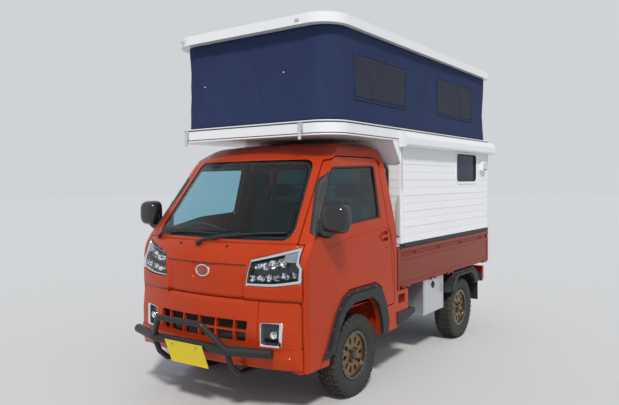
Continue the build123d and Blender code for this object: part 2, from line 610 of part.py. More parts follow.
def tread_angles():
    """Each lug's corners round the tyre as (angle, whether at the lug's height), from straight below the axle."""
    corners = []
    for lug in range(TYRE_LUGS):
        for part, raised in ((0, True), (0.60, True), (0.68, False), (0.92, False)):
            corners.append((2 * math.pi * (lug + part) / TYRE_LUGS - math.pi / 2, raised))
    return corners


def make_tyre():
    """Flat faces between rings round the axle; across the tread every ring steps down between the lugs."""
    half = TYRE_WIDTH / 2
    bead = (RIM_FLANGE_R + SEAT_GAP) / math.cos(0.32 * math.pi / TYRE_LUGS)
    side = [(half - 18, bead, 0), (half, TYRE_R - 60, 0), (half - 10, TYRE_R, LUG_DEPTH)]
    rings = []
    for x, radius, drop in side + [(-x, radius, drop) for x, radius, drop in reversed(side)]:
        rings.append([
            Vector(x, r * math.cos(a), r * math.sin(a)) for a, r in (
                (a, radius if raised else radius - drop) for a, raised in tread_angles())])
    faces = []
    for ring, following in zip(rings, rings[1:] + rings[:1]):
        for index in range(len(ring)):
            after = (index + 1) % len(ring)
            a, b, c, d = ring[index], ring[after], following[after], following[index]
            flat = abs((b - a).cross(c - a).normalized().dot((d - a).normalized())) < 1e-6
            for corners in ((a, b, c, d),) if flat else ((a, b, c), (a, c, d)):
                faces.append(Face(Wire.make_polygon(corners)))
    return Solid(Shell(faces))


def make_wheel():
    """Tyre and rim about X, outer face towards +X."""
    tyre = make_tyre()
    rim_half = RIM_WIDTH / 2
    rim = lathe_x([
        (-rim_half, RIM_FLANGE_R, 0), (rim_half, RIM_FLANGE_R, 0), (rim_half, 146, 0), (-rim_half, 146, 0)])
    disc = Pos(38, 0, 0) * Rot(0, 90, 0) * Cylinder(147, 14)
    for index in range(RIM_WINDOWS):
        window = Rot((index + 0.5) * 360 / RIM_WINDOWS, 0, 0) * (
            Plane.YZ.offset(20) * outline([(-9, 78, 8), (9, 78, 8), (19, 122, 14), (-19, 122, 14)]))
        disc -= extrude(window, 40)
    hub = Pos(30, 0, 0) * Rot(0, 90, 0) * Cylinder(40, 44)
    return tyre, rim + disc + hub


def wheel_at(solid, x, s):
    placed = Pos(x, y_of(s), TYRE_R) * solid
    return placed


def make_running_gear():
    tyre, rim = make_wheel()
    nodes = {}
    for place, s in (("front", FRONT_AXLE_S), ("rear", REAR_AXLE_S)):
        for name, solid in (("tyre", tyre), ("rim", rim)):
            left = wheel_at(solid, TRACK_HALF, s)
            nodes[f"{name}_{place}_left"] = [left]
            nodes[f"{name}_{place}_right"] = [mirrored(left)]
    nodes["knuckle_left"] = [make_knuckle()]
    nodes["knuckle_right"] = [mirrored(make_knuckle())]
    return nodes


def kingpin_x(z):
    """Where the sloping steering axis lies at a height."""
    return BALL_X + (STRUT_TOP_X - BALL_X) * (z - BALL_Z) / (STRUT_TOP_Z - BALL_Z)


def along_kingpin(z0, z1, radius):
    low = Vector(kingpin_x(z0), y_of(FRONT_AXLE_S), z0)
    high = Vector(kingpin_x(z1), y_of(FRONT_AXLE_S), z1)
    return extrude(Plane(low, z_dir=high - low) * Circle(radius), (high - low).length)


def make_knuckle():
    """Upright, stub axle, brake disc and steering arm of one front wheel."""
    centre_x = kingpin_x(TYRE_R)
    knuckle = along_kingpin(KNUCKLE_LOW_Z, KNUCKLE_TOP_Z, 19) + rod_x(centre_x - 10, HUB_END_X, FRONT_AXLE_S, TYRE_R, 16)
    knuckle += rod_x(centre_x + 14, centre_x + 30, FRONT_AXLE_S, TYRE_R, 76)
    knuckle += box(centre_x - 22, centre_x - 2, FRONT_AXLE_S, FRONT_AXLE_S + 110, TYRE_R - 10, TYRE_R + 10)
    return knuckle


def make_suspension():
    front = [box(-300, 300, 700, 830, 310, 370)]
    for side in (-1, 1):
        arm = bent_tube([(374, 769, 320), (450, 769, 236), (BALL_X - 8, 769, BALL_Z - 7)], 40, 15)
        arm += along_kingpin(BALL_Z - 14, KNUCKLE_LOW_Z - SEAT_GAP, 19)
        arm += box(RAIL_X + RAIL_WIDTH / 2, 386, 745, 793, 302, 345)
        strut = along_kingpin(KNUCKLE_TOP_Z + SEAT_GAP, 545, 22) + rod_z(kingpin_x(560), 769, 540, PLATFORM_Z, 32)
        front += [arm, strut] if side > 0 else [mirrored(arm), mirrored(strut)]
    axle = lathe_x(symmetric_ends([
        (0, DIFF_R, 0), (70, DIFF_R, 20), (125, 36, 20), (568, 36, 0), (568, 108, 0), (602, 108, 0), (602, 16, 0),
        (HUB_END_X, 16, 0), (HUB_END_X, 0, 0)]))
    rear = Pos(0, y_of(REAR_AXLE_S), TYRE_R) * axle
    springs = []
    for side in (-1, 1):
        leaf = along_x([(REAR_AXLE_S - 480, 430, 0), (REAR_AXLE_S - 200, 330, 200), (REAR_AXLE_S + 200, 330, 200),
                        (REAR_AXLE_S + 480, 430, 0), (REAR_AXLE_S + 480, 445, 0), (REAR_AXLE_S + 60, 360, 60),
                        (REAR_AXLE_S - 60, 360, 60), (REAR_AXLE_S - 480, 445, 0)], 400, 455)
        leaf += box(400, 455, REAR_AXLE_S - 45, REAR_AXLE_S + 45, TYRE_R + 36 + SEAT_GAP, 332)
        for s in (REAR_AXLE_S - 480, REAR_AXLE_S + 480):
            leaf += box(400, 455, s - 25, s + 25, 425, RAIL_TOP_Z)
            leaf += box(RAIL_X + RAIL_WIDTH / 2, 405, s - 25, s + 25, 460, 520)
        springs.append(leaf if side > 0 else mirrored(leaf))
    return front, rear, springs


def symmetric_ends(half):
    """Lathe rows for both ends of an axle from rows of (x, radius, corner) of its left end."""
    return [(-x, r, c) for x, r, c in reversed(half)] + half[1:]


def make_frame():
    """Two rails that drop under the cab, their cross members, and the rear tow eye."""
    low = RAIL_LOW_Z - RAIL_DROP
    top = RAIL_TOP_Z - RAIL_DROP
    rail = along_x([
        (170, low, 0), (1260, low, 150), (1470, RAIL_LOW_Z, 150), (RAIL_END_S, RAIL_LOW_Z, 0), (RAIL_END_S, RAIL_TOP_Z, 0),
        (1440, RAIL_TOP_Z, 150), (1230, top, 150), (170, top, 0)], RAIL_X - RAIL_WIDTH / 2, RAIL_X + RAIL_WIDTH / 2)
    inside = RAIL_X - RAIL_WIDTH / 2 - SEAT_GAP
    members = []
    middle = RAIL_LOW_Z + 10
    for s, z in ((200, low + 10), (REAR_AXLE_S - 949, middle), (REAR_AXLE_S - 469, middle), (RAIL_END_S - 100, middle)):
        members.append(box(-inside, inside, s - 30, s + 30, z, z + 70))
    horn = box(300, 340, 0, 172, low + 20, top - 10) & bumper_form(BUMPER_WALL + SEAT_GAP)
    cab_mounts = box(300, 340, 230, 290, low, FLOOR_Z - PLATE - SEAT_GAP)
    cab_mounts += box(300, 340, 1250, 1290, top - 20, PLATFORM_Z - SEAT_GAP)
    engine_mount = box(220 + SEAT_GAP, 300 - SEAT_GAP, 990, 1050, low + 20, low + 70)
    for piece in (box(300, 340, 105, 172, low, top + 5), horn, cab_mounts):
        rail += piece
    end_half = BODY_HALF - 37.5
    end = box(-end_half, end_half, RAIL_END_S + SEAT_GAP, RAIL_END_S + 40, RAIL_LOW_Z, RAIL_TOP_Z)
    end += box(-60, 60, RAIL_END_S + 40, RAIL_END_S + 56, 450, 520)
    eye = along_x([(TOW_S - 33, 470, 0), (TOW_S - 33, 400, 0), (TOW_S + 32, 400, 30), (TOW_S + 32, 470, 30)],
                  TOW_X - 6, TOW_X + 6)
    end += eye - rod_x(TOW_X - 20, TOW_X + 20, TOW_S, TOW_Z, TOW_HOLE_R)
    return pair(rail) + pair(engine_mount) + members + [end]


def make_under():
    engine = box(-220, 220, 880, 1290, 290, 590) + box(-110, 110, 1290, 1640, 272, 430)
    shaft = rod_y(0, 1640 + SEAT_GAP, REAR_AXLE_S - DIFF_R - SEAT_GAP, 300, 27)
    tank = box(57.5 - BODY_HALF, -400, REAR_AXLE_S - 989, REAR_AXLE_S - 529, 320, RAIL_TOP_Z - SEAT_GAP)
    muffler_s = REAR_AXLE_S - 369
    muffler = Pos(160, y_of(muffler_s), 360) * Rot(90, 0, 0) * Cylinder(70, 380)
    tail = bent_tube([(160, muffler_s + 185, 360), (160, muffler_s + 260, 400), (160, muffler_s + 650, 400),
                      (250, muffler_s + 950, 360)], 60, 20)
    pipe = bent_tube([(160, muffler_s - 185, 360), (160, muffler_s - 400, 360), (190, 1500, 380),
                      (190, 1290 + SEAT_GAP, 380)], 60, 20)
    hanger = box(148, 172, REAR_AXLE_S - 477, REAR_AXLE_S - 461, 425, RAIL_LOW_Z + 10 - SEAT_GAP)
    box_left = box(BED_MEMBER_HALF + 4, BODY_HALF - 32.5, REAR_AXLE_S - 779, REAR_AXLE_S - 359, 340,
                   DECK_TOP_Z - DECK - SEAT_GAP)
    return engine, shaft, tank, [muffler + tail + pipe + hanger], box_left


def camper_section():
    """Plan rows (x, station, radius) of the rim that runs round the camper and over the cab."""
    return symmetric([(RIM_HALF, RIM_FRONT_S, RIM_CORNER), (RIM_HALF, RIM_REAR_S, 40)])


CAMPER_WINDOW = [
    (CAMPER_REAR_S - 839, 1454, 45), (CAMPER_REAR_S - 839, 1710, 45), (CAMPER_REAR_S - 338, 1710, 45),
    (CAMPER_REAR_S - 338, 1454, 45)]

def camper_hinge(low, high, side):
    """One knuckle of the rear door's hinge with its leaf towards +x or -x."""
    leaf_end = CAMPER_PIN_X + side * 40
    leaf = box(min(CAMPER_PIN_X, leaf_end), max(CAMPER_PIN_X, leaf_end), CAMPER_REAR_S - 1, CAMPER_REAR_S + 3,
               low, high)
    return leaf + rod_z(CAMPER_PIN_X, CAMPER_PIN_S, low, high, 6)


def make_camper():
    top = RIM_LOW_Z
    outer = box(-CAMPER_HALF, CAMPER_HALF, CAMPER_FRONT_S, CAMPER_REAR_S, CAMPER_LOW_Z, top)
    inner = box(-CAMPER_HALF + CAMPER_WALL, CAMPER_HALF - CAMPER_WALL, CAMPER_FRONT_S + CAMPER_WALL,
                CAMPER_REAR_S - CAMPER_WALL, CAMPER_LOW_Z - 10, top + 10)
    walls = outer - inner
    walls -= along_x(CAMPER_WINDOW, -900, 900)
    walls -= box(-CAMPER_DOOR_HALF - 6, CAMPER_DOOR_HALF + 6, CAMPER_REAR_S - 92, CAMPER_REAR_S + 108,
                 CAMPER_DOOR_LOW_Z - 6, CAMPER_DOOR_TOP_Z + 6)
    tub_half = BODY_HALF - BED_WALL - 15
    tub = box(-tub_half, tub_half, 1450, TAILGATE_S - 15, DECK_TOP_Z + SEAT_GAP, CAMPER_LOW_Z)
    tub -= box(-tub_half + 20, tub_half - 20, 1470, TAILGATE_S - 35, DECK_TOP_Z + 20, CAMPER_LOW_Z + 1)
    sill = box(-CAMPER_HALF, CAMPER_HALF, CAMPER_FRONT_S, CAMPER_REAR_S, CAMPER_LOW_Z, CAMPER_LOW_Z + 22)
    sill -= box(-tub_half + 20, tub_half - 20, 1470, TAILGATE_S - 35, 900, 1000)
    walls -= box(-900, 900, 1000, CAMPER_REAR_S + 108, CAMPER_LOW_Z - 1, CAMPER_LOW_Z + 22)
    tub += sill
    band = along_z(camper_section(), RIM_LOW_Z, RIM_TOP_Z)
    band -= along_z(camper_section(), RIM_LOW_Z - 10, RIM_TOP_Z + 10, 40)
    tray = along_z(camper_section(), RIM_LOW_Z, RIM_LOW_Z + 20) & box(-900, 900, 0, CAMPER_FRONT_S + 28, 0, 3000)
    band += tray
    gusset = along_x([(CAMPER_FRONT_S, 1600, 0), (CAMPER_FRONT_S, RIM_LOW_Z, 0), (1310, RIM_LOW_Z, 0),
                      (1310, RIM_LOW_Z - 12, 0), (CAMPER_FRONT_S - 12, 1600, 0)], -CAMPER_HALF, CAMPER_HALF)
    tent_rows = [(x - math.copysign(TENT_INSET, x), s, r) for x, s, r in camper_section()]
    tent_rows = [(x, s + (TENT_INSET if s < 1000 else -TENT_INSET), r) for x, s, r in tent_rows]
    tent = along_z(tent_rows, RIM_TOP_Z + SEAT_GAP, LID_LOW_Z - SEAT_GAP)
    tent -= along_z(tent_rows, RIM_TOP_Z - 10, LID_LOW_Z + 10, TENT_SKIN)
    lid_rows = symmetric([(LID_HALF, LID_FRONT, LID_CORNER), (LID_HALF, LID_REAR, 60)])
    lid = along_z(lid_rows, LID_LOW_Z, LID_TOP_Z) - along_z(lid_rows, LID_LOW_Z - 1, LID_TOP_Z - 25, 70)
    pane = along_x(CAMPER_WINDOW, CAMPER_HALF - 16, CAMPER_HALF - 10, SEAT_GAP)
    door = box(-CAMPER_DOOR_HALF, CAMPER_DOOR_HALF, CAMPER_REAR_S - CAMPER_WALL, CAMPER_REAR_S,
               CAMPER_DOOR_LOW_Z, CAMPER_DOOR_TOP_Z)
    for z in CAMPER_HINGE_Z:
        door += camper_hinge(z - 30, z + 30, 1)
        for low in (z - 60 - SEAT_GAP, z + 30 + SEAT_GAP):
            walls += camper_hinge(low, low + 30, -1)
    awning = along_y([(RIM_HALF + SEAT_GAP, 1845, 0), (RIM_HALF + SEAT_GAP, 1720, 0), (806, 1724, 25), (806, 1800, 40),
                      (770, 1845, 30)], 1400, RIM_REAR_S - 4)
    bracket = box(655, 712, CAMPER_FRONT_S - 16, CAMPER_FRONT_S, 1030, 1360)
    return {
        "camper_walls": [walls], "camper_tub": [tub], "camper_rim": [band + gusset],
        "camper_tent": [tent], "camper_lid": [lid], "camper_windows": pair(pane), "camper_door": [door],
        "camper_awning": [awning], "camper_brackets": pair(bracket)}


def make_wipers():
    """Two arms with blades that lie just ahead of the windscreen's foot."""
    wipers = []
    for x0, z0, x1 in ((-544, 1076, 60), (-72, 1056, 556)):
        rise = 1084 - z0
        points = []
        for x, s, z in ((x0, COWL_S - 34 - rise / 2, z0 + 8), (x0 + 40, COWL_S - 24, z0 + 44), (x1, COWL_S + 14, 1140)):
            points.append((x, s + SWEEP_R - math.sqrt(SWEEP_R ** 2 - x ** 2), z))
        arm = bent_tube(points, 20, 6)
        base = points[0]
        post = Pos(base[0], y_of(base[1]), base[2]) * Rot(62, 0, 0) * Cylinder(14, 60)
        wipers.append(arm + post - cab_form(-SEAT_GAP))
    return wipers


def make_all():
    nodes = {}
    nodes |= make_cab()
    nodes |= make_doors()
    nodes |= make_front()
    nodes |= make_running_gear()
    nodes |= make_camper()
    floor, dash, steering_wheel, seats, base = make_interior()
    deck, board, guard = make_bed()
    front_susp, rear_axle, springs = make_suspension()
    engine, shaft, tank, exhaust, toolbox = make_under()
    gate = side_gate()
    nodes |= {
        "cab_floor": floor, "dashboard": [dash], "steering_wheel": [steering_wheel],
        "seats": seats, "seat_base": base, "bed_deck": deck, "headboard": [board], "guard_frame": [guard],
        "gate_left": [gate], "gate_right": [mirrored(gate)], "tailgate": [tailgate()],
        "over_fenders": make_flares(), "front_suspension": front_susp, "rear_axle": [rear_axle],
        "leaf_springs": springs, "frame": make_frame(), "engine": [engine],
        "propshaft": [shaft], "fuel_tank": [tank], "exhaust": exhaust, "toolbox": [toolbox],
        "bull_bar": [make_bull_bar()], "number_plates": make_plates(), "tail_lamps": make_tail_lamps(),
        "wipers": make_wipers()}
    return nodes


os.makedirs("parts", exist_ok=True)
for name, solids in make_all().items():
    separate = [solid for piece in solids for solid in piece.solids()]
    export_step(Compound(label=name, children=separate), f"parts/{name}.step")
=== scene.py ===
import json
import random
from math import cos, exp, pi, radians, sin, sqrt

import bmesh
import bpy
from mathutils import Matrix, Vector, geometry, noise
from mathutils.bvhtree import BVHTree


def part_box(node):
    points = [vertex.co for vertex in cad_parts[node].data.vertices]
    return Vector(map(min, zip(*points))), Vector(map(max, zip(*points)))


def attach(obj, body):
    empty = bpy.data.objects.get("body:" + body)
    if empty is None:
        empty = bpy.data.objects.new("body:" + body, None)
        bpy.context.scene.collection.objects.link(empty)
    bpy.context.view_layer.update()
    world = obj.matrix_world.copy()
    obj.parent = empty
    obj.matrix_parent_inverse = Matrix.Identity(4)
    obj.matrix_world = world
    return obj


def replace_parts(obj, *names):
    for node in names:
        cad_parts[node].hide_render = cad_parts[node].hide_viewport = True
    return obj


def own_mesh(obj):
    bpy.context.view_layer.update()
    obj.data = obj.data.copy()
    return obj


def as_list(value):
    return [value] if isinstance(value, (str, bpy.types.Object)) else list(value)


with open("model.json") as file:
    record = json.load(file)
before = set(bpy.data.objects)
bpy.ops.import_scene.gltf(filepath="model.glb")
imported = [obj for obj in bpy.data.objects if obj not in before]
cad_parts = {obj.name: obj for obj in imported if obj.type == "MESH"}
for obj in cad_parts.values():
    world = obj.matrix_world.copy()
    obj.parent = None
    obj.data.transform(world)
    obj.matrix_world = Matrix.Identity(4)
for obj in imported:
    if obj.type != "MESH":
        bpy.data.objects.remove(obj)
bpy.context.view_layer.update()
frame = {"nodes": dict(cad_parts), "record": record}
NODES = frame["nodes"]

# Driving sizes, in metres. A station is the distance behind the front of the bumper, and SWEEP_R the radius of
# the cab's curved front, seen from above.
Y_BUMPER = -1.633
SWEEP_R = 2.001
NOSE_STATION = .029
BODY_HALF = .7375
WALL_HALF = .732
WALL_FRONT = 1.438
WALL_REAR = 3.392
WALL_LOW = .979
RIM_LOW = 1.768
RIM_TOP = 1.865
RIM_HALF = .736
RIM_FRONT = .5
RIM_REAR = 3.424
TENT_TOP = 2.4897
TENT_INSET = .034
UP = Vector((0, 0, 1))
SIDES = ((1, "left"), (-1, "right"))


def at(x, station, z):
    return Vector((x, Y_BUMPER + station, z))


# Mesh helpers

def link(name, data):
    thing = bpy.data.objects.new(name, data)
    bpy.context.scene.collection.objects.link(thing)
    return thing


def new_piece(name, points, faces, material, body="chassis", sharp=35):
    """A smooth-shaded mesh piece that rides on a body."""
    mesh = bpy.data.meshes.new(name)
    mesh.from_pydata([tuple(p) for p in points], [], faces)
    work = bmesh.new()
    work.from_mesh(mesh)
    bmesh.ops.delete(work, geom=[v for v in work.verts if not v.link_faces], context="VERTS")
    bmesh.ops.remove_doubles(work, verts=work.verts, dist=1e-6)
    bmesh.ops.recalc_face_normals(work, faces=work.faces)
    work.to_mesh(mesh)
    work.free()
    mesh.shade_smooth()
    mesh.set_sharp_from_angle(angle=radians(sharp))
    mesh.materials.append(MATERIALS[material])
    piece = link(name, mesh)
    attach(piece, body)
    return piece


def thicken(piece, thickness, offset=0):
    solid = piece.modifiers.new("thickness", "SOLIDIFY")
    solid.thickness = thickness
    solid.offset = offset
    return piece


def grid_faces(rows, columns, wrap=False, first=0):
    """Quads over a grid of points, row by row; wrap joins the last column to the first."""
    faces = []
    for r in range(rows - 1):
        for c in range(columns if wrap else columns - 1):
            after = (c + 1) % columns
            a, b = first + r * columns, first + (r + 1) * columns
            faces.append((a + c, a + after, b + after, b + c))
    return faces


def turns(count, shift=0):
    """Evenly spread angles of a full turn."""
    return [2 * pi * (k + shift) / count for k in range(count)]


def wheel_point(centre, x, radius, angle):
    return centre + Vector((x, radius * sin(angle), radius * cos(angle)))


class Bag:
    """Points and faces of many small shapes that become one mesh."""

    def __init__(self):
        self.points = []
        self.faces = []

    def grid(self, rows, wrap=False):
        """A sheet of equally long rows of points; wrap closes each row."""
        first = len(self.points)
        for row in rows:
            self.points += [Vector(p) for p in row]
        self.faces += grid_faces(len(rows), len(rows[0]), wrap, first)
        return first

    def rings(self, rings, caps=True):
        first, size = self.grid(rings, True), len(rings[0])
        if caps:
            self.faces.append(tuple(range(first, first + size)))
            self.cap(size)

    def cap(self, size):
        """Close the last ring of the given size."""
        self.faces.append(tuple(range(len(self.points) - size, len(self.points))))

    def turned(self, centre, section, count):
        """A closed section of (distance along the axle, radius) points, turned round the axle."""
        first, size = len(self.points), len(section)
        for a in turns(count):
            self.points += [wheel_point(centre, x, r, a) for x, r in section]
        self.faces += [tuple(first + i % (count * size) for i in face) for face in grid_faces(count + 1, size, True)]

    def box(self, low, high, chamfer=0):
        """A box whose top and bottom rings are drawn in by the chamfer."""
        (x0, y0, z0), (x1, y1, z1) = low, high
        x0, x1 = sorted((x0, x1))
        c = min(chamfer, (x1 - x0) / 3, (y1 - y0) / 3, (z1 - z0) / 3)

        def ring(z, inset):
            a, b, d, e = x0 + inset, x1 - inset, y0 + inset, y1 - inset
            return [(a + c, d, z), (b - c, d, z), (b, d + c, z), (b, e - c, z), (b - c, e, z), (a + c, e, z),
                (a, e - c, z), (a, d + c, z)]
        if c:
            self.rings([ring(z0, c), ring(z0 + c, 0), ring(z1 - c, 0), ring(z1, c)])
        else:
            self.rings([[(x0, y0, z), (x1, y0, z), (x1, y1, z), (x0, y1, z)] for z in (z0, z1)])

    def tube(self, path, radius, sides):
        """A round bar along points; radius may be a list, one for each point."""
        path = [Vector(p) for p in path]
        rings, side = [], None
        for i, p in enumerate(path):
            along = (path[min(i + 1, len(path) - 1)] - path[max(i - 1, 0)]).normalized()
            if side is None:
                side = along.orthogonal().normalized()
            side = (side - along * side.dot(along)).normalized()
            other = along.cross(side)
            r = radius[i] if isinstance(radius, list) else radius
            rings.append([p + (side * cos(a) + other * sin(a)) * r for a in turns(sides)])
        self.rings(rings)

    def disc(self, centre, normal, profile, sides):
        """A turned shape from (radius, height along the normal) rows, closed at both ends."""
        centre, normal = Vector(centre), Vector(normal).normalized()
        side = normal.orthogonal().normalized()
        other = normal.cross(side)
        self.rings([[centre + normal * h + (side * cos(a) + other * sin(a)) * r for a in turns(sides)]
            for r, h in profile])

    def moulding(self, loop, rows, place, caps=False):
        """A moulding round a plane loop: rows of (how far inside the loop, out), each point put by place."""
        self.rings([[place(p.x, p.y, out) for p in inset_loop(loop, amount)] for amount, out in rows], caps)

    def mirrored(self):
        first = len(self.points)
        self.faces += [tuple(first + i for i in face) for face in self.faces]
        self.points += [Vector((-p.x, p.y, p.z)) for p in self.points]
        return self

    def piece(self, name, material, body="chassis", sharp=35, slot=None):
        return new_piece(name, self.points, self.faces, material, body, sharp)


def bags(count):
    return [Bag() for _ in range(count)]


def smooth_path(points, steps):
    """Catmull-Rom points through given ones."""
    points = [Vector(p) for p in points]
    padded = [points[0] * 2 - points[1]] + points + [points[-1] * 2 - points[-2]]
    path = []
    for i in range(1, len(padded) - 2):
        a, b, c, d = padded[i - 1:i + 3]
        path += [.5 * (2 * b + (c - a) * t + (2 * a - 5 * b + 4 * c - d) * t ** 2 + (3 * b - a - 3 * c + d) * t ** 3)
            for t in (k / steps for k in range(steps))]
    return path + [points[-1]]


def along_table(rows, value):
    for (a, b), (c, d) in zip(rows, rows[1:]):
        if value <= c:
            return b + (d - b) * (value - a) / (c - a)
    return rows[-1][1]


def rounded_loop(corners, radius, steps=5):
    """Points round a closed outline whose corners are eased by arcs of about the given radius."""
    points = []
    for i, corner in enumerate(corners):
        here = Vector(corner)
        before, after = Vector(corners[i - 1]) - here, Vector(corners[(i + 1) % len(corners)]) - here
        reach = min(radius, before.length * .45, after.length * .45)
        a, b = here + before.normalized() * reach, here + after.normalized() * reach
        points += [a * (1 - t) ** 2 + here * 2 * t * (1 - t) + b * t ** 2
            for t in (k / steps for k in range(steps + 1))]
    return points


def inset_loop(loop, amount):
    """Each point of a closed plane loop moved towards its inside."""
    centre = sum(loop, Vector((0, 0))) / len(loop)
    moved = []
    for i, p in enumerate(loop):
        along = (loop[(i + 1) % len(loop)] - loop[i - 1]).normalized()
        normal = Vector((-along.y, along.x))
        moved.append(p + normal * (-amount if normal.dot(centre - p) < 0 else amount))
    return moved


def dense_loop(loop, gap):
    """A closed loop with its straight runs cut into short steps."""
    points = []
    for a, b in zip(loop, loop[1:] + loop[:1]):
        count = max(1, round((b - a).length / gap))
        points += [a.lerp(b, k / count) for k in range(count)]
    return points


def oblong(low, high, radius, steps):
    """An upright plane rectangle with eased corners."""
    return rounded_loop([low, (low[0], high[1]), high, (high[0], low[1])], radius, steps)


# Materials: name, two tones, roughness, and what else sets them apart

SURFACES = {
    "body_paint": ("copper_orange_paint", (.41, .031, .004), (.53, .05, .007), .34,
        dict(metal=.35, coat=.25, patch=1.5, grain=2600, relief=.02, spread=.05, bend=1.25)),
    "bed_paint": ("bed_red_orange_paint", (.2, .03, .014), (.26, .042, .02), .45,
        dict(metal=.15, coat=.15, patch=4, grain=1800, relief=.04, bend=1.3)),
    "black_plastic": ("grained_black_plastic", (.012, .012, .013), (.028, .028, .03), .55,
        dict(patch=8, grain=1500, relief=.25)),
    "gloss_black": ("gloss_black_plastic", (.006, .006, .008), (.012, .012, .014), .12,
        dict(coat=.6, relief=.01, spread=.04)),
    "black_metal": ("powder_coated_black", (.014, .014, .015), (.026, .026, .028), .42,
        dict(metal=.2, patch=10, grain=2200, relief=.15)),
    "chassis": ("dusty_chassis_black", (.012, .012, .012), (.05, .045, .038), .62,
        dict(patch=7, grain=300, relief=.3)),
    "glass": ("green_tinted_glass", (.48, .71, .78), (.52, .75, .82), .015,
        dict(clear=1, patch=2, grain=40, relief=0, spread=.01, bend=1.28)),
    "tinted": ("dark_tinted_pane", (.012, .02, .04), (.022, .034, .062), .1,
        dict(patch=2, relief=0, spread=.02, bend=1.2)),
    "reflector": ("faceted_reflector", (.9, .92, .96), (.97, .98, 1), .1,
        dict(metal=.85, grain=900, relief=0, spread=.04)),
    "lamp_lens": ("clear_lamp_lens", (.96, .98, 1), (.98, .99, 1), .01,
        dict(clear=1, relief=0, spread=.01, bend=1.22)),
    "lens_blue": ("bluish_lamp_corner", (.42, .5, .6), (.55, .62, .7), .1,
        dict(clear=.45, coat=1, relief=0, spread=.03)),
    "badge": ("red_badge_face", (.3, .045, .03), (.38, .06, .035), .25,
        dict(metal=.6, coat=1, grain=900, relief=.02, spread=.04)),
    # A dark copy of the reflector: painted shade that stands in for dark reflections in some of the headlamp's facets
    "smoke": ("shaded_reflector", (.06, .06, .07), (.14, .14, .16), .15,
        dict(metal=.9, grain=900, relief=0, spread=.04)),
    "chrome": ("bright_chrome", (.78, .79, .82), (.88, .89, .92), .08,
        dict(metal=1, grain=900, relief=.02, spread=.03)),
    "red_lens": ("red_lamp_lens", (.45, .01, .01), (.6, .02, .02), .12, dict(coat=.8, grain=250, relief=.2)),
    "tyre_rubber": ("tyre_rubber", (.016, .016, .016), (.045, .042, .038), .72, dict(patch=12, grain=700, relief=.35)),
    "bronze_alloy": ("bronze_alloy", (.2, .125, .065), (.3, .195, .105), .36,
        dict(metal=.85, patch=14, grain=1600, relief=.06)),
    "steel": ("worn_steel", (.26, .25, .24), (.42, .41, .4), .45, dict(metal=.9, patch=9, relief=.1)),
    "cast_iron": ("cast_iron", (.045, .042, .04), (.1, .09, .08), .6, dict(metal=.6, patch=9, grain=350, relief=.4)),
    "aluminium": ("brushed_aluminium", (.62, .63, .65), (.74, .75, .77), .34, dict(metal=.9, grain=1200, relief=.06)),
    "white_siding": ("white_enamel_siding", (.75, .752, .76), (.82, .82, .822), .4, dict(patch=2.2, grain=900)),
    "white_plastic": ("white_gelcoat", (.73, .735, .75), (.79, .79, .795), .26,
        dict(coat=.3, patch=2, grain=700, relief=.03)),
    "navy_fabric": ("navy_canvas", (.017, .027, .078), (.024, .038, .1), .85, dict(relief=.3, weave=.0016, bend=1.3)),
    "mesh": ("window_mesh", (.014, .018, .036), (.022, .027, .048), .8, dict(patch=5, relief=.5, weave=.0024)),
    "seat_fabric": ("charcoal_seat_cloth", (.04, .04, .046), (.07, .07, .078), .9,
        dict(patch=6, relief=.4, sheen=.3, weave=.003)),
    "interior_plastic": ("dark_cabin_plastic", (.035, .035, .038), (.055, .055, .06), .6,
        dict(patch=5, grain=1400, relief=.3)),
    "plate_yellow": ("yellow_plate", (.74, .56, .012), (.8, .62, .018), .5, dict(patch=9, grain=900, relief=.04)),
    "grey": ("grey_rail", (.44, .44, .46), (.52, .52, .54), .5, dict(patch=6, grain=900, relief=.1)),
}
# A material's key is the slot that it fills, but for these
MATERIAL_OF_NODE = {**dict.fromkeys(("gate_left", "gate_right", "tailgate", "bed_deck", "headboard"), "bed_paint"),
    **dict.fromkeys(("frame", "front_suspension", "leaf_springs", "fuel_tank", "radiator"), "chassis"),
    "camper_windows": "tinted"}
# The scale at which a wave texture has one band a metre
THREAD = .314


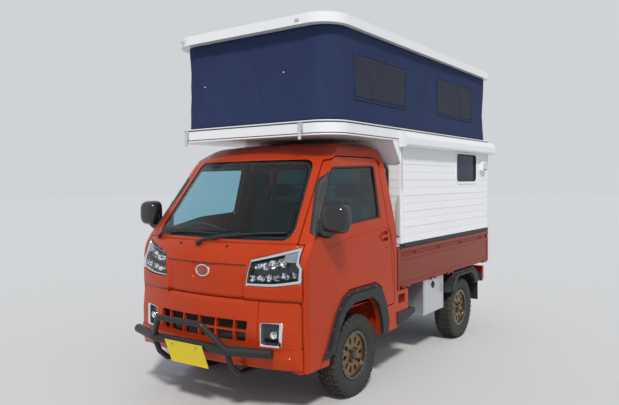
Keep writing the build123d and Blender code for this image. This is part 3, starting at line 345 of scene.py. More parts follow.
def surface(name, dark, light, rough, more):
    """Colour drifts between two tones in patches; fine grain shapes the gloss and the relief."""
    look = dict(metal=0, coat=0, patch=3, grain=500, relief=.05, spread=.08, sheen=0, clear=0, weave=0, bend=1.45)
    look.update(more)
    material = bpy.data.materials.new(name)
    material.use_nodes = True
    nodes, links = material.node_tree.nodes, material.node_tree.links
    shader = nodes["Principled BSDF"]
    place = nodes.new("ShaderNodeTexCoord")

    def node(kind, **values):
        made = nodes.new("ShaderNode" + kind)
        for key, value in values.items():
            made.inputs[key.replace("_", " ")].default_value = value
        if "Vector" in made.inputs:
            links.new(place.outputs["Object"], made.inputs["Vector"])
        return made

    for key, value in (("Metallic", look["metal"]), ("Coat Weight", look["coat"]), ("Coat Roughness", .05),
            ("Sheen Weight", look["sheen"]), ("Transmission Weight", look["clear"]), ("IOR", look["bend"])):
        shader.inputs[key].default_value = value
    drift = node("TexNoise", Scale=look["patch"], Detail=6)
    fine = node("TexNoise", Scale=look["grain"], Detail=3)
    tone = node("Mix")
    tone.data_type = "RGBA"
    tone.inputs[6].default_value = (*dark, 1)
    tone.inputs[7].default_value = (*light, 1)
    spread = look["spread"]
    gloss = nodes.new("ShaderNodeMapRange")
    gloss.inputs["To Min"].default_value = max(rough - spread, 0)
    gloss.inputs["To Max"].default_value = min(rough + spread, 1)
    bump = node("Bump", Strength=look["relief"], Distance=.001)
    links.new(drift.outputs["Fac"], tone.inputs["Factor"])
    links.new(tone.outputs[2], shader.inputs["Base Color"])
    links.new(fine.outputs["Fac"], gloss.inputs["Value"])
    links.new(gloss.outputs["Result"], shader.inputs["Roughness"])
    height = fine.outputs["Fac"]
    if look["weave"]:
        crossing = nodes.new("ShaderNodeMath")
        crossing.operation = "ADD"
        for index, direction in enumerate("XZ"):
            wave = node("TexWave", Scale=THREAD / look["weave"], Distortion=.4)
            wave.bands_direction = direction
            links.new(wave.outputs["Fac"], crossing.inputs[index])
        height = crossing.outputs[0]
    links.new(height, bump.inputs["Height"])
    links.new(bump.outputs["Normal"], shader.inputs["Normal"])
    return material


def dress_frame():
    slots = {entry["node"]: entry["material_slot"] for entry in frame["record"]["subparts"]}
    for name, node in NODES.items():
        node.data.materials.clear()
        node.data.materials.append(MATERIALS[MATERIAL_OF_NODE.get(name, slots[name])])


# Stage: the camera's focal length and the photograph's width, both in pixels

FOCAL_PIXELS, PHOTO_PIXELS = 609.6, 619


def make_camera():
    yaw, pitch, roll = (radians(a) for a in (-35.208, -1.856, -.488))
    look = Vector((sin(yaw) * cos(pitch), cos(yaw) * cos(pitch), sin(pitch)))
    right = look.cross(UP).normalized()
    up = right.cross(look)
    right, up = right * cos(roll) + up * sin(roll), up * cos(roll) - right * sin(roll)
    data = bpy.data.cameras.new("camera")
    data.sensor_fit = "HORIZONTAL"
    data.sensor_width = 36
    data.lens = data.sensor_width * FOCAL_PIXELS / PHOTO_PIXELS
    camera = link("camera", data)
    turned = Matrix((right, up, -look)).transposed().to_4x4()
    camera.matrix_world = Matrix.Translation(at(2.8454, -2.772, 1.4552)) @ turned
    bpy.context.scene.camera = camera


def make_stage():
    world = bpy.data.worlds.new("studio")
    bpy.context.scene.world = world
    world.use_nodes = True
    nodes, links = world.node_tree.nodes, world.node_tree.links
    nodes["Background"].inputs["Color"].default_value = (.8, .88, 1, 1)
    nodes["Background"].inputs["Strength"].default_value = .6
    seen = nodes.new("ShaderNodeBackground")
    seen.inputs["Color"].default_value = (.631, .651, .669, 1)
    rays, mix = nodes.new("ShaderNodeLightPath"), nodes.new("ShaderNodeMixShader")
    either = rays.outputs["Is Camera Ray"]
    for ray in ("Is Glossy Ray", "Is Transmission Ray"):
        higher = nodes.new("ShaderNodeMath")
        higher.operation = "MAXIMUM"
        links.new(either, higher.inputs[0])
        links.new(rays.outputs[ray], higher.inputs[1])
        either = higher.outputs[0]
    for index, source in enumerate((either, nodes["Background"].outputs[0], seen.outputs[0])):
        links.new(source, mix.inputs[index])
    links.new(mix.outputs[0], nodes["World Output"].inputs["Surface"])
    data = bpy.data.lights.new("sun", "SUN")
    data.energy = 2.75
    data.angle = radians(7)
    data.color = (1, .965, .91)
    sun = link("sun", data)
    sun.matrix_world = Vector((.56, -.7, .9)).to_track_quat("Z", "Y").to_matrix().to_4x4()
    floor = bpy.data.meshes.new("floor")
    floor.from_pydata([(-60, -60, 0), (60, -60, 0), (60, 60, 0), (-60, 60, 0)], [], [(0, 1, 2, 3)])
    floor.materials.append(surface("pale_gravel_floor", (.55, .55, .545), (.6, .6, .595), .95,
        dict(patch=60, grain=140, relief=.3)))
    link("floor", floor)
    bpy.context.scene.view_settings.view_transform = "Standard"


# Wheels: the share of a block's foot that its top keeps

TOP_WIDTH, TOP_LENGTH = .86, .88


def tyre(place):
    """An all-terrain tyre: a turned carcass, three rows of blocks and lugs over both shoulders."""
    low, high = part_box(f"tyre_{place}")
    centre = (low + high) / 2
    radius, half = (high.z - low.z) / 2, (high.x - low.x) / 2
    bag = Bag()
    groove = radius - .0085
    section = [(.045, .168), (.055, .166), (.06, .172), (.066, .178), (.0725, .192), (.0765, .208), (half, .222),
        (half, .236), (.0755, .248), (.072, .258), (.066, groove - .002), (.058, groove)]
    bag.turned(centre, section + [(0, groove + .001)] + [(-x, r) for x, r in reversed(section)], 72)
    pitches = 38
    step = 2 * pi / pitches
    for k in range(pitches):
        a = k * step
        for x0, x1, shift, skew in ((-.013, .013, 0, .3), (.017, .04, .45, -.24), (-.04, -.017, .55, -.24)):
            first, last = a + (shift - .38) * step, a + (shift + .38) * step
            lean = skew * step
            corners = [(x0, first), (x1, first + lean), (x1, last + lean), (x0, last)]
            mx, ma = (sum(c[i] for c in corners) / 4 for i in (0, 1))
            top = [(mx + (x - mx) * TOP_WIDTH, ma + (b - ma) * TOP_LENGTH) for x, b in corners]
            bag.rings([[wheel_point(centre, x, r, b) for x, b in shape]
                for shape, r in ((corners, groove - .003), (top, radius - .0006))])
        wide, deep = (.36, .243) if k % 2 else (.3, .252)
        for sign, offset in ((-1, .75), (1, .25)):
            first, last = a + (offset - wide) * step, a + (offset + wide) * step
            rings = []
            for x, top, base in ((.0445, radius - .0005, groove - .003), (.064, radius - .001, groove - .004),
                    (.0735, radius - .01, groove - .012), (half - .0002, deep + .006, deep + .004),
                    (half - .0015, deep, deep)):
                inner = x - .004 if x > .07 else x
                rings.append([wheel_point(centre, sign * px, r, b)
                    for px, r, b in ((x, top, first), (x, top, last), (inner, base, last), (inner, base, first))])
            bag.rings(rings)
    piece = bag.piece(f"tread_tyre_{place}", "tyre_rubber", f"wheel_{place}", 28)
    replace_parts(piece, f"tyre_{place}")


def rim_trim(place, side):
    """Black outer ring with studs, centre cap and lug nuts on the bronze rim."""
    low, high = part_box(f"rim_{place}")
    centre = (low + high) / 2
    out = Vector((side, 0, 0))
    face, hub_face = (high.x - low.x) / 2, .0525
    ring, studs, cap, nuts = bags(4)
    ring.turned(centre, [(side * (face + h), r)
        for r, h in ((.1655, -.006), (.1655, .0015), (.16, .003), (.147, .002), (.143, -.004), (.143, -.01))], 64)
    for a in turns(24, .5):
        studs.disc(wheel_point(centre, side * (face + .0015), .1535, a), out,
            [(.004, 0), (.0042, .002), (.0028, .0038)], 8)
    cap.disc(centre + out * (hub_face - .004), out,
        [(.031, 0), (.031, .008), (.027, .013), (.018, .015), (.008, .0155)], 32)
    for a in turns(4, .5):
        nuts.disc(wheel_point(centre, side * (hub_face - .008), .05, a), out,
            [(.0105, 0), (.0105, .011), (.009, .016), (.005, .018)], 6)
    for bag, label, material, sharp in ((ring, "outer_ring", "gloss_black", 30), (studs, "ring_studs", "steel", 35),
            (cap, "centre_cap", "gloss_black", 40), (nuts, "lug_nuts", "black_metal", 30)):
        bag.piece(f"{label}_{place}", material, f"wheel_{place}", sharp)


# Front of the cab: (height, station) profiles, and the headlamp's edges

NOSE_PROFILE = [(0, .029), (.8765, .029), (.905, .0308), (.933, .0363), (.997, .0533), (1.015, .0592), (1.031, .0682),
    (1.084, .102), (1.632, .512)]
BUMPER_PROFILE = [(.3, .095), (.322, .022), (.383, .0046), (.4, .0011), (.417, 0), (.543, 0), (.56, .0007),
    (.577, .0029), (.731, .029)]
BUMPER_STEP = .009
# Where the slanted corner begins, how steeply it runs back, and how far an inset moves it
CORNER_X, CORNER_STATION, CORNER_SLOPE, CORNER_INSET = .64, .054, 1.446, 1.7
# The headlamp's inner end at its foot, its lean outwards, and its taper with depth
LAMP_INNER, LAMP_LEAN, LAMP_TAPER = .3545, .028, .5
LAMP_SIDE = [(0, .714), (.42, .714), (.55, .69), (1, .69)]
LAMP_FOOT = [(.353, .8235), (.5, .8225), (.544, .8245), (.6, .831), (.732, .8535)]
LAMP_TOP = [(.381, .9815), (.56, 1.026), (.588, 1.0335), (.706, 1.0665)]
# (share across, share up, half width, half height) of each bowl in the headlamp
BOWLS = [(.155, .68, .029, .024), (.325, .68, .03, .025), (.5, .68, .03, .027), (.675, .68, .029, .028),
    (.115, .27, .026, .021), (.265, .27, .026, .021), (.415, .27, .026, .022), (.565, .27, .026, .022),
    (.715, .27, .026, .022), (.855, .27, .02, .02)]
# How deep a bowl is, and how far chance moves its facets
BOWL_DEPTH, BOWL_CHANCE = .026, .004
NOSE_EDGE = [(.7145, .735), (.7145, .905), (.7035, .933), (.691, .95), (.691, 1.0745), (.647, 1.0755), (.64, 1.084)]
# Depths of the nose's sunk panel and badge pocket, the panel's foot and bevel, and the skin's grid
RECESS, POCKET = .017, .023
RECESS_HALF, RECESS_FOOT, RECESS_BEVEL = .346, .735, .023
SKIN_STEP_X, SKIN_STEP_Z = .0255, .0233
BADGE_Z, BADGE_STEPS = .894, 40


def front_point(x, z, inset, profile=NOSE_PROFILE):
    """A point on the curved front, set back by inset."""
    reach = NOSE_STATION + SWEEP_R - along_table(profile, z) - inset
    station = NOSE_STATION + SWEEP_R - sqrt(reach ** 2 - x ** 2)
    return at(x, max(station, CORNER_STATION + (abs(x) - CORNER_X) * CORNER_SLOPE + inset * CORNER_INSET), z)


def lamp_spot(u, v):
    """A point of the headlamp's outline seen from the front: u from its inner end outwards, v upwards."""
    inner, outer = LAMP_INNER + LAMP_LEAN * v, along_table(LAMP_SIDE, v)
    x = inner + (outer - inner) * u
    low, high = along_table(LAMP_FOOT, x), along_table(LAMP_TOP, x)
    return Vector((x, low + (high - low) * v))


def lamp_point(u, v, inset, side):
    spot = lamp_spot(u, v)
    return front_point(side * (spot.x - LAMP_TAPER * inset * u), spot.y, inset)


def lamp_frame(bag, side, edges):
    """Rings inside the lamp's edge, each with its margins (foot, outer, top, inner) as shares of the lamp."""
    rings, steps = [], 16
    for (low, outer, top, near), inset in edges:
        corners = [(near, low), (1 - outer, low), (1 - outer, 1 - top), (near, 1 - top)]
        rings.append([lamp_point(a + (c - a) * k / steps, b + (d - b) * k / steps, inset, side)
            for (a, b), (c, d) in zip(corners, corners[1:] + corners[:1]) for k in range(steps)])
    bag.grid(rings, True)


def reflector_cell(bag, u, v, wide, tall, side, dice):
    """One faceted bowl of the headlamp's reflector, its facets turned a little by chance."""
    middle, count = lamp_point(u, v, .014, side), 14
    out = Vector((side * .2, -1, .05)).normalized()
    across = out.cross(UP).normalized() * side
    up = across.cross(out).normalized() * side
    rings = []
    for t in (0, .3, .62, .88):
        ring = []
        for a in turns(count, .5 * (t > 0)):
            c, s = cos(a), sin(a)
            size = (1 - t) * (abs(c) ** 3 + abs(s) ** 3) ** (-1 / 3)
            depth = BOWL_DEPTH * sqrt(t) + (BOWL_CHANCE * (dice.random() - .5) if 0 < t else 0)
            ring.append(middle + across * c * wide * size + up * s * tall * size - out * depth)
        rings.append(ring)
    bag.rings(rings, caps=False)
    bag.cap(count)


def headlamp(side, name):
    lens, housing, dark, bowls, shade, bulbs, corner = bags(7)
    columns, rows = 28, 12
    lens.grid([[lamp_point(u / columns, v / rows, .0015, side) for u in range(columns + 1)] for v in range(rows + 1)])
    cover = thicken(lens.piece(f"headlamp_lens_{name}", "lamp_lens"), .002, side)
    rim = ((.095, .061, .09, .016), .01)
    lamp_frame(housing, side, [((0, 0, 0, 0), .0045), ((.085, .055, .08, .012), .0045), rim])
    housing.piece(f"headlamp_frame_{name}", "chrome", sharp=30)
    lamp_frame(dark, side, [rim, ((.1, .07, .1, .02), .048)])
    dark.grid([[lamp_point(.02 + .93 * u / 12, .08 + .84 * v / 6, .048, side) for u in range(13)] for v in range(7)])
    thicken(dark.piece(f"headlamp_inside_{name}", "gloss_black"), .0015)
    dice = random.Random(7)
    for bowl in BOWLS:
        reflector_cell(bowls, *bowl, side, dice)
        bulbs.disc(lamp_point(*bowl[:2], .036, side), (side * .2, -1, 0),
            [(.008, 0), (.0085, .006), (.006, .011), (.002, .013)], 12)
    # About four in ten facets take the dark copy of the reflector, as painted shade in place of dark reflections
    shade.points = bowls.points
    shade.faces = [face for face in bowls.faces if dice.random() < .4]
    bowls.faces = [face for face in bowls.faces if face not in shade.faces]
    bowls.piece(f"headlamp_bowls_{name}", "reflector", sharp=12)
    shade.piece(f"headlamp_painted_shade_facets_{name}", "smoke", sharp=12)
    bulbs.piece(f"headlamp_bulbs_{name}", "lamp_lens")
    rings = []
    for u in (.7, .78, .86, .94):
        foot = .6 + .1 * (.94 - u) / .24
        rings.append([lamp_point(u, v, inset, side)
            for v, inset in ((foot, .008), (.9, .006), (.9, .03), (foot, .03))])
    corner.rings(rings)
    corner.piece(f"headlamp_corner_{name}", "lens_blue")
    return cover


def fog_lamp(side, name):
    """A black panel with one round lamp, in a bright frame that is thick on its outer side."""
    bezel, panel, lamp, glass = bags(4)

    def place(x, z, inset):
        return front_point(side * x, z, inset + BUMPER_STEP, BUMPER_PROFILE)

    outer, middle, inner = (rounded_loop(corners, .012) for corners in (
        [(.4645, .4595), (.4615, .6025), (.6105, .6085), (.6015, .4575)],
        [(.4675, .4655), (.4645, .5985), (.599, .603), (.59, .4635)],
        [(.4695, .47), (.4665, .595), (.585, .5985), (.577, .4685)]))
    bezel.grid([[place(p.x, p.y, inset) for p in loop]
        for loop, inset in ((outer, .006), (outer, -.001), (inset_loop(outer, .002), -.0025), (middle, -.001),
            (inner, .005), (inner, .03))], True)
    bezel.piece(f"fog_bezel_{name}", "chrome", sharp=30)
    panel.grid([[place(.466 + .124 * u / 8, .465 + .136 * v / 8, .029) for u in range(9)] for v in range(9)])
    thicken(panel.piece(f"fog_panel_{name}", "gloss_black"), .002, side)
    centre = place(.541, .53, .028)
    out = Vector((side * .3, -1, 0)).normalized()
    lamp.disc(centre, out, [(.025, 0), (.026, .013), (.0235, .016), (.021, .012), (.012, .003), (.003, .002)], 28)
    lamp.piece(f"fog_reflector_{name}", "chrome", sharp=50)
    glass.disc(centre, out, [(.0215, .013), (.021, .017), (.014, .021), (.004, .0225)], 28)
    glass.piece(f"fog_glass_{name}", "lamp_lens")


def inside(loop, p):
    """Whether a plane point lies inside a closed loop."""
    count = 0
    for a, b in zip(loop, loop[1:] + loop[:1]):
        if (a.y > p.y) != (b.y > p.y) and p.x < a.x + (b.x - a.x) * (p.y - a.y) / (b.y - a.y):
            count += 1
    return count % 2 == 1


def both_sides(half):
    """A closed loop from its right-hand points, listed upwards."""
    return [Vector(p) for p in half] + [Vector((-x, z)) for x, z in reversed(half)]


def nose_skin():
    """The nose with its sunk trapezoid, bevelled at the sides, the badge's pocket and the lamp holes."""
    edge, recess, floor, pocket, base = (both_sides(half) for half in (
        NOSE_EDGE, [(RECESS_HALF, RECESS_FOOT), (.34, .822), (.361, .951)],
        [(.323, RECESS_FOOT), (.317, .822), (.337, .948)],
        [(.08, .838), (.091, .842), (.096, .852), (.096, .9478)],
        [(.078, .842), (.087, .845), (.092, .854), (.092, .944)]))
    lamp = [lamp_spot(k / 20, 0) for k in range(20)] + [lamp_spot(1, k / 12) for k in range(12)]
    lamp += [lamp_spot(1 - k / 20, 1) for k in range(20)] + [lamp_spot(0, 1 - k / 8) for k in range(8)]
    lamp = inset_loop(lamp, -.0012)
    holes = [lamp, [Vector((-p.x, p.y)) for p in reversed(lamp)]]
    points, depths, edges = [], [], []
    for loop, depth in ((edge, 0), (recess, 0), (floor, RECESS), (pocket, RECESS), (base, POCKET), (holes[0], 0),
            (holes[1], 0)):
        first = len(points)
        points += dense_loop(loop, .03)
        depths += [max(depth, RECESS * min(1, max(0, (RECESS_HALF - abs(p.x)) / RECESS_BEVEL))
            if p.y < RECESS_FOOT + .0002 else 0) for p in points[first:]]
        edges += [(i, i + 1) for i in range(first, len(points) - 1)] + [(len(points) - 1, first)]
    for row in range(1, 15):
        for column in range(-28, 29):
            spot = Vector((SKIN_STEP_X * column, RECESS_FOOT + SKIN_STEP_Z * row))
            if any(inside(around, spot) and not inside(within, spot)
                    for around, within in ((recess, floor), (pocket, base))):
                continue
            points.append(spot)
            depths.append(POCKET if inside(base, spot) else RECESS if inside(floor, spot) else 0)
    flat, _, faces, sources, _, _ = geometry.delaunay_2d_cdt(points, edges, [], 0, 1e-5)
    solid = []
    for p, source in zip(flat, sources):
        depth = depths[source[0]] if source else 0
        if depth:
            depth -= .006 * max(0, (p.y - .86) / .09)
        solid.append(front_point(p.x, p.y, depth + .0012))
    kept = []
    for face in faces:
        middle = sum((flat[i] for i in face), Vector((0, 0))) / len(face)
        if inside(edge, middle) and not any(inside(hole, middle) for hole in holes):
            kept.append(face)
    skin = thicken(new_piece("nose_skin", solid, kept, "body_paint", sharp=22), .0024)
    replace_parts(skin, "cab_nose")
    line = Bag()
    line.rings([[front_point(-.36 + .03 * k, z, inset)
        for z, inset in ((.9512, -.0003), (.948, .0002), (.948, .006), (.9512, .006))] for k in range(25)])
    line.piece("bonnet_line", "gloss_black")


def bumper_lips():
    """The painted lower lip at each end of the bumper, where it turns towards the door."""
    bag = Bag()
    for side, _ in SIDES:
        bag.grid([[front_point(side * (.5 + .0125 * k), z, .0006, BUMPER_PROFILE) for k in range(14)]
            for z in (.404, .383, .36, .34, .322, .312, .3015)])
    thicken(bag.piece("bumper_lips", "body_paint"), .002)


def badge():
    """A bare oval ring round a plain domed oval, in the nose panel's pocket."""
    def ovals(bag, rows):
        bag.grid([[front_point(wide * cos(a), BADGE_Z + tall * sin(a), inset) for a in turns(BADGE_STEPS)]
            for wide, tall, inset in rows], True)

    ring, dome = bags(2)
    ovals(ring, [(.062, .042, .0235), (.062, .042, .016), (.059, .039, .0125), (.052, .032, .013), (.05, .03, .0185)])
    ring.piece("bare_badge_ring", "chrome", sharp=30)
    ovals(dome, [(.0505 * t, .0305 * t, .0135 + .006 * t ** 2) for t in (1, .8, .55, .3, .08)])
    dome.cap(BADGE_STEPS)
    dome.piece("bare_badge_dome", "badge")


def brace():
    """A thin rod and a flat strip that stiffen each end of the bull bar's hoop."""
    bag = Bag()
    for side, _ in SIDES:
        bag.tube([at(side * .243, -.133, .541), at(side * .428, -.052, .474)], .0035, 8)
        bag.tube([at(side * .318, -.09, .476), at(side * .436, -.048, .471)], .005, 8)
    bag.piece("bull_bar_braces", "black_metal")


def frit():
    """The black printed border round the windscreen, just behind the glass."""
    outer = dense_loop(rounded_loop([(.607, 1.099), (.519, 1.611), (-.519, 1.611), (-.607, 1.099)], .06), .02)
    inner = [Vector((p.x * .945, 1.142 + (p.y - 1.099) * .842)) for p in outer]
    bag = Bag()
    bag.grid([[front_point(p.x, p.y, .0125) for p in loop] for loop in (outer, inner)], True)
    thicken(bag.piece("windscreen_border", "gloss_black"), .0008)


def wipers():
    """Two arms from their pivots on the cowl, with blades that lie just off the glass."""
    arms, blades = bags(2)
    for (x, z), rows in (((-.544, 1.076), ((-.52, 1.1), (-.4, 1.128), (-.269, 1.136), (-.11, 1.136), (.068, 1.131))),
            ((-.072, 1.058), ((-.03, 1.082), (.1, 1.112), (.26, 1.134), (.4, 1.144), (.556, 1.148)))):
        arms.disc(front_point(x, z, .004), (0, -.8, .6), [(.017, 0), (.017, .02), (.011, .027)], 18)
        path = smooth_path([front_point(x, z, -.02)] + [front_point(px, pz + .006, -.024) for px, pz in rows[:3]], 5)
        arms.tube(path, [.011 - .005 * k / len(path) for k in range(len(path))], 8)
        start = rows[0][0] + .06
        stops = [start + (rows[-1][0] - start) * k / 16 for k in range(17)]
        for lift, thick in ((-.018, .005), (-.011, .003), (-.004, .0022)):
            blades.tube([front_point(px, along_table(rows, px) - .002, lift) for px in stops], thick, 6)
    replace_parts(arms.piece("wiper_arms", "black_plastic"), "wipers")
    blades.piece("wiper_blades", "tyre_rubber", slot="black_plastic")


def make_front():
    for side, name in SIDES:
        cover = headlamp(side, name)
        fog_lamp(side, name)
        if side > 0:
            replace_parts(cover, "headlamps", "fog_lamps")
    nose_skin()
    bumper_lips()
    frit()
    wipers()
    badge()
    brace()
    nozzles = Bag()
    for x in (-.251, .177):
        nozzles.disc(front_point(x, 1.055, .001), (0, -.85, .5),
            [(.01, -.002), (.01, .002), (.007, .007), (.003, .008)], 14)
    nozzles.piece("washer_nozzles", "black_plastic")


# Cab sides: the side glass, and the front and rear edges of the mirror's corner panel

SIDE_GLASS = [(.262, 1.12), (.42, 1.352), (.5, 1.47), (.61, 1.56), (1.18, 1.58), (1.146, 1.198), (.74, 1.176),
    (.46, 1.118)]
PANEL_FRONT = [(1.12, .262), (1.352, .42), (1.47, .5), (1.56, .61)]
PANEL_REAR = [(1.122, .462), (1.2, .457), (1.27, .449), (1.32, .45), (1.37, .482), (1.56, .622)]
# The mirror's middle, half sizes and squareness
MIRROR_X, MIRROR_Z, MIRROR_WIDE, MIRROR_TALL, MIRROR_POWER = .8435, 1.236, .0865, .093, 3.4
# How far the pane lies below the door's skin, and the step of a search for it
PANE_DEPTH = .013
SEARCH_STEP = .0025


def side_x(z):
    """The half width of the cab's side at a height."""
    return along_table([(0, BODY_HALF), (1.08, BODY_HALF), (1.58, .641), (1.692, .598)], z)


def pane_tree():
    shape = bmesh.new()
    shape.from_mesh(NODES["door_glass_left"].data)
    shape.transform(NODES["door_glass_left"].matrix_world)
    tree = BVHTree.FromBMesh(shape)
    shape.free()
    return tree


def skin_spot(tree, side, p, inward, depth):
    """The point p of a side view at a depth below the door's skin, which its pane shows a little further inward."""
    for step in range(12):
        q = p + inward * SEARCH_STEP * step
        hit, normal, _, _ = tree.ray_cast(at(1.2, q.x, q.y), Vector((-1, 0, 0)))
        if hit:
            skin = hit.x + (PANE_DEPTH - normal.y * (p.x - q.x) - normal.z * (p.y - q.y)) / max(.15, normal.x)
            break
    else:
        skin, normal = side_x(p.y), Vector((1, 0, 0))
    spot = at(min(skin, side_x(p.y) + .001), p.x, p.y) - normal * depth
    return Vector((side * spot.x, spot.y, spot.z))


def door_trim(side, name):
    """Black rubber round the side glass, the mirror's corner panel, the lock and the inner card."""
    body, tree, loop = f"door_{name}", pane_tree(), rounded_loop(SIDE_GLASS, .045)
    rubber, panel, lock, card = bags(4)
    rubber.grid([[skin_spot(tree, side, p, (q - p).normalized(), depth)
        for p, q in zip(inset_loop(loop, -amount), inset_loop(loop, .03))]
        for amount, depth in ((.001, .0045), (-.003, -.0012), (-.011, -.0008), (-.014, .006), (-.008, .0115))], True)
    rubber.piece(f"window_rubber_{name}", "black_plastic", body, 60)
    rows, columns = 23, 11
    for z in (1.128 + .0192 * row for row in range(rows)):
        low, high = along_table(PANEL_FRONT, z) + .003, along_table(PANEL_REAR, z)
        spots = [Vector((low + (high - low) * k / (columns - 1), z)) for k in range(columns)]
        panel.points += [skin_spot(tree, side, p, Vector((1, 0)), .004) for p in spots]
    panel.faces += grid_faces(rows, columns)
    thicken(panel.piece(f"mirror_corner_{name}", "black_plastic", body, 60), .002)
    lock.disc(at(side * (BODY_HALF - .001), 1.2, .976), (side, 0, 0), [(.011, 0), (.011, .002), (.008, .0035)], 18)
    lock.piece(f"door_lock_{name}", "gloss_black", body)
    card.box(at(side * (BODY_HALF - .048), .33, .76), at(side * (BODY_HALF - .04), 1.18, 1.085), .003)
    card.piece(f"door_card_{name}", "interior_plastic", body)


def mirror(side, name):
    """A rounded door mirror on a short arm, glass to the rear."""
    body = f"door_{name}"
    shell, band, glass = bags(3)

    def sections(rows):
        """Squarish rings at (station, share of the full size)."""
        rings = []
        for station, grow in rows:
            ring = []
            for a in turns(36):
                c, s = cos(a), sin(a)
                size = grow * (abs(c) ** MIRROR_POWER + abs(s) ** MIRROR_POWER) ** (-1 / MIRROR_POWER)
                ring.append(at(side * (MIRROR_X + MIRROR_WIDE * c * size), station, MIRROR_Z + MIRROR_TALL * s * size))
            rings.append(ring)
        return rings

    shell.rings(sections(((.3835, .96), (.382, .99), (.364, 1), (.338, .985), (.32, .94), (.306, .86), (.297, .74),
        (.2925, .56), (.291, .3), (.2905, .08))))
    arm = [(.7365, .345, 1.145), (.765, .342, 1.135), (.8, .34, 1.14), (.835, .338, 1.165)]
    shell.tube(smooth_path([at(side * x, s, z) for x, s, z in arm], 5), .025, 14)
    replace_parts(shell.piece(f"mirror_shell_{name}", "gloss_black", body, 50), f"mirror_{name}")
    band.rings([ring[19:36] for ring in sections(((.356, 1.003), (.346, 1.001)))], caps=False)
    band.faces.pop()
    thicken(band.piece(f"mirror_band_{name}", "black_plastic", body), .001)
    glass.rings(sections(((.3825, .9), (.3842, .9), (.3846, .88))))
    glass.piece(f"mirror_glass_{name}", "chrome", body, slot="glass")


# Cabin and brackets

def make_trims():
    """Dark panels that line the cab's rear wall, and the camper's front corner brackets."""
    lining, brackets = bags(2)
    for x0, x1, z0, z1 in ((-.6, .6, .72, 1.18), (-.6, -.452, 1.18, 1.54), (.452, .6, 1.18, 1.54)):
        lining.box(at(x0, 1.296, z0), at(x1, 1.304, z1), .003)
    lining.piece("rear_wall_lining", "interior_plastic")
    loop = rounded_loop([(.694, 1.09), (.702, 1.045), (.727, 1.038), (.727, 1.352), (.712, 1.352), (.695, 1.3)], .008)
    for side, _ in SIDES:
        brackets.moulding(loop, ((0, 1.4375), (0, 1.423), (.0015, 1.4215)), lambda x, z, s: at(side * x, s, z), True)
    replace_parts(brackets.piece("camper_corner_brackets", "grey"), "camper_brackets")


def seat_pad(base, half, tall, thick, lean):
    """Points of a crowned cushion with bolsters and sewn channels, first its front face and then its back."""
    rows, columns = 22, 18
    along = Vector((0, cos(lean), sin(lean)))
    normal = Vector((0, -sin(lean), cos(lean)))
    points = []
    for face in (1, -1):
        for r in range(rows + 1):
            for c in range(columns + 1):
                u, v = 2 * c / columns - 1, 2 * r / rows - 1
                edge = (1 - abs(u) ** 4) ** .5 * (1 - abs(v) ** 4) ** .5
                bolster = .016 * max(0, abs(u) - .55) / .45 * edge
                seam = .006 * exp(-((abs(u) - .58) / .035) ** 2)
                seam += .005 * exp(-((abs((v * 3) % 1 - .5) - .5) / .06) ** 2) * (abs(u) < .56)
                lift = face * thick / 2 * edge
                if face > 0:
                    lift += (bolster + .01 * (1 - v * v) - seam) * edge
                pull = 1 - .035 * abs(v) ** 3 * abs(u)
                points.append(base + Vector((u * half * pull, 0, 0)) + along * (tall * (v + 1) / 2 * .98)
                    + normal * lift)
    size = (rows + 1) * (columns + 1)
    return points, grid_faces(rows + 1, columns + 1) + grid_faces(rows + 1, columns + 1, False, size)


def make_seats():
    """Two padded seats, each with a cushion, a back and a headrest."""
    seats = []
    for index, x in enumerate((-.35, .35)):
        for part, base, half, tall, thick, lean in (("cushion", at(x, .745, .765), .23, .43, .1, 8),
                ("back", at(x, 1.16, .83), .22, .5, .085, 76)):
            points, faces = seat_pad(base, half, tall, thick, radians(lean))
            seats.append(new_piece(f"seat_{part}_{index}", points, faces, "seat_fabric", sharp=60))
        head, posts = bags(2)
        middle, rings = at(x, 1.268, 1.385), []
        for t in (k / 4 - 1 for k in range(9)):
            ease = (1 - abs(t) ** 3) ** .5 * .9 + .1
            rings.append([middle + Vector((.125 * t, .036 * cos(a) * ease, .052 * sin(a) * ease))
                for a in turns(20)])
        head.rings(rings)
        head.piece(f"headrest_{index}", "seat_fabric", sharp=60)
        for dx in (-.04, .04):
            posts.tube([at(x + dx, 1.262, 1.3), at(x + dx, 1.266, 1.36)], .006, 10)
        posts.piece(f"headrest_posts_{index}", "steel")
    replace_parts(seats[0], "seats")


# Camper: a lap of siding has a height, an edge that is a share of it, and a depth

LAP, LAP_EDGE, LAP_DEPTH = .0612, .06, .003
WINDOW, SEAL_GAP = ((2.553, 1.454), (3.054, 1.71)), .004
# Section of the corner trims, from the camper's corner: (sideways, lengthways)
CORNER_TRIM = [(.0045, -.028), (.0055, 0), (.004, .004), (0, .0055), (-.028, .0045), (-.026, 0), (0, 0), (0, -.026)]
# The rim's lines: material, the height that they are measured from, and (inwards, up) points
RIM_LINES = [("black_plastic", RIM_LOW, ((-.0006, .01), (-.0016, .0115), (-.0016, .0145), (-.0006, .016))),
    ("black_plastic", RIM_TOP, ((-.0006, -.017), (-.0016, -.0155), (-.0016, -.012), (-.0006, -.0105))),
    ("white_plastic", RIM_TOP, ((-.0004, -.01), (-.006, -.008), (-.007, -.004), (-.0035, -.0004)))]
# Folds of the tent: where along the wall, how far they lean, and the height of their middle
FOLDS = [(3.55, -.16, .45), (4.1, -.25, .4), (4.35, .14, .55), (4.62, -.18, .35), (4.8, .1, .6), (5.55, .22, .5),
    (6.3, -.2, .5), (7.15, .15, .45), (2.95, .2, .5), (1.6, .18, .5), (.8, -.2, .5)]


def lap_profile(z):
    """How far a lap of siding stands out at a height; every second lap has the deeper edge."""
    count = (z - WALL_LOW) / LAP
    phase = count % 1
    deep = LAP_DEPTH if int(count) % 2 == 0 else LAP_DEPTH * .5
    return deep * (1 - phase) if phase > LAP_EDGE else deep * phase / LAP_EDGE


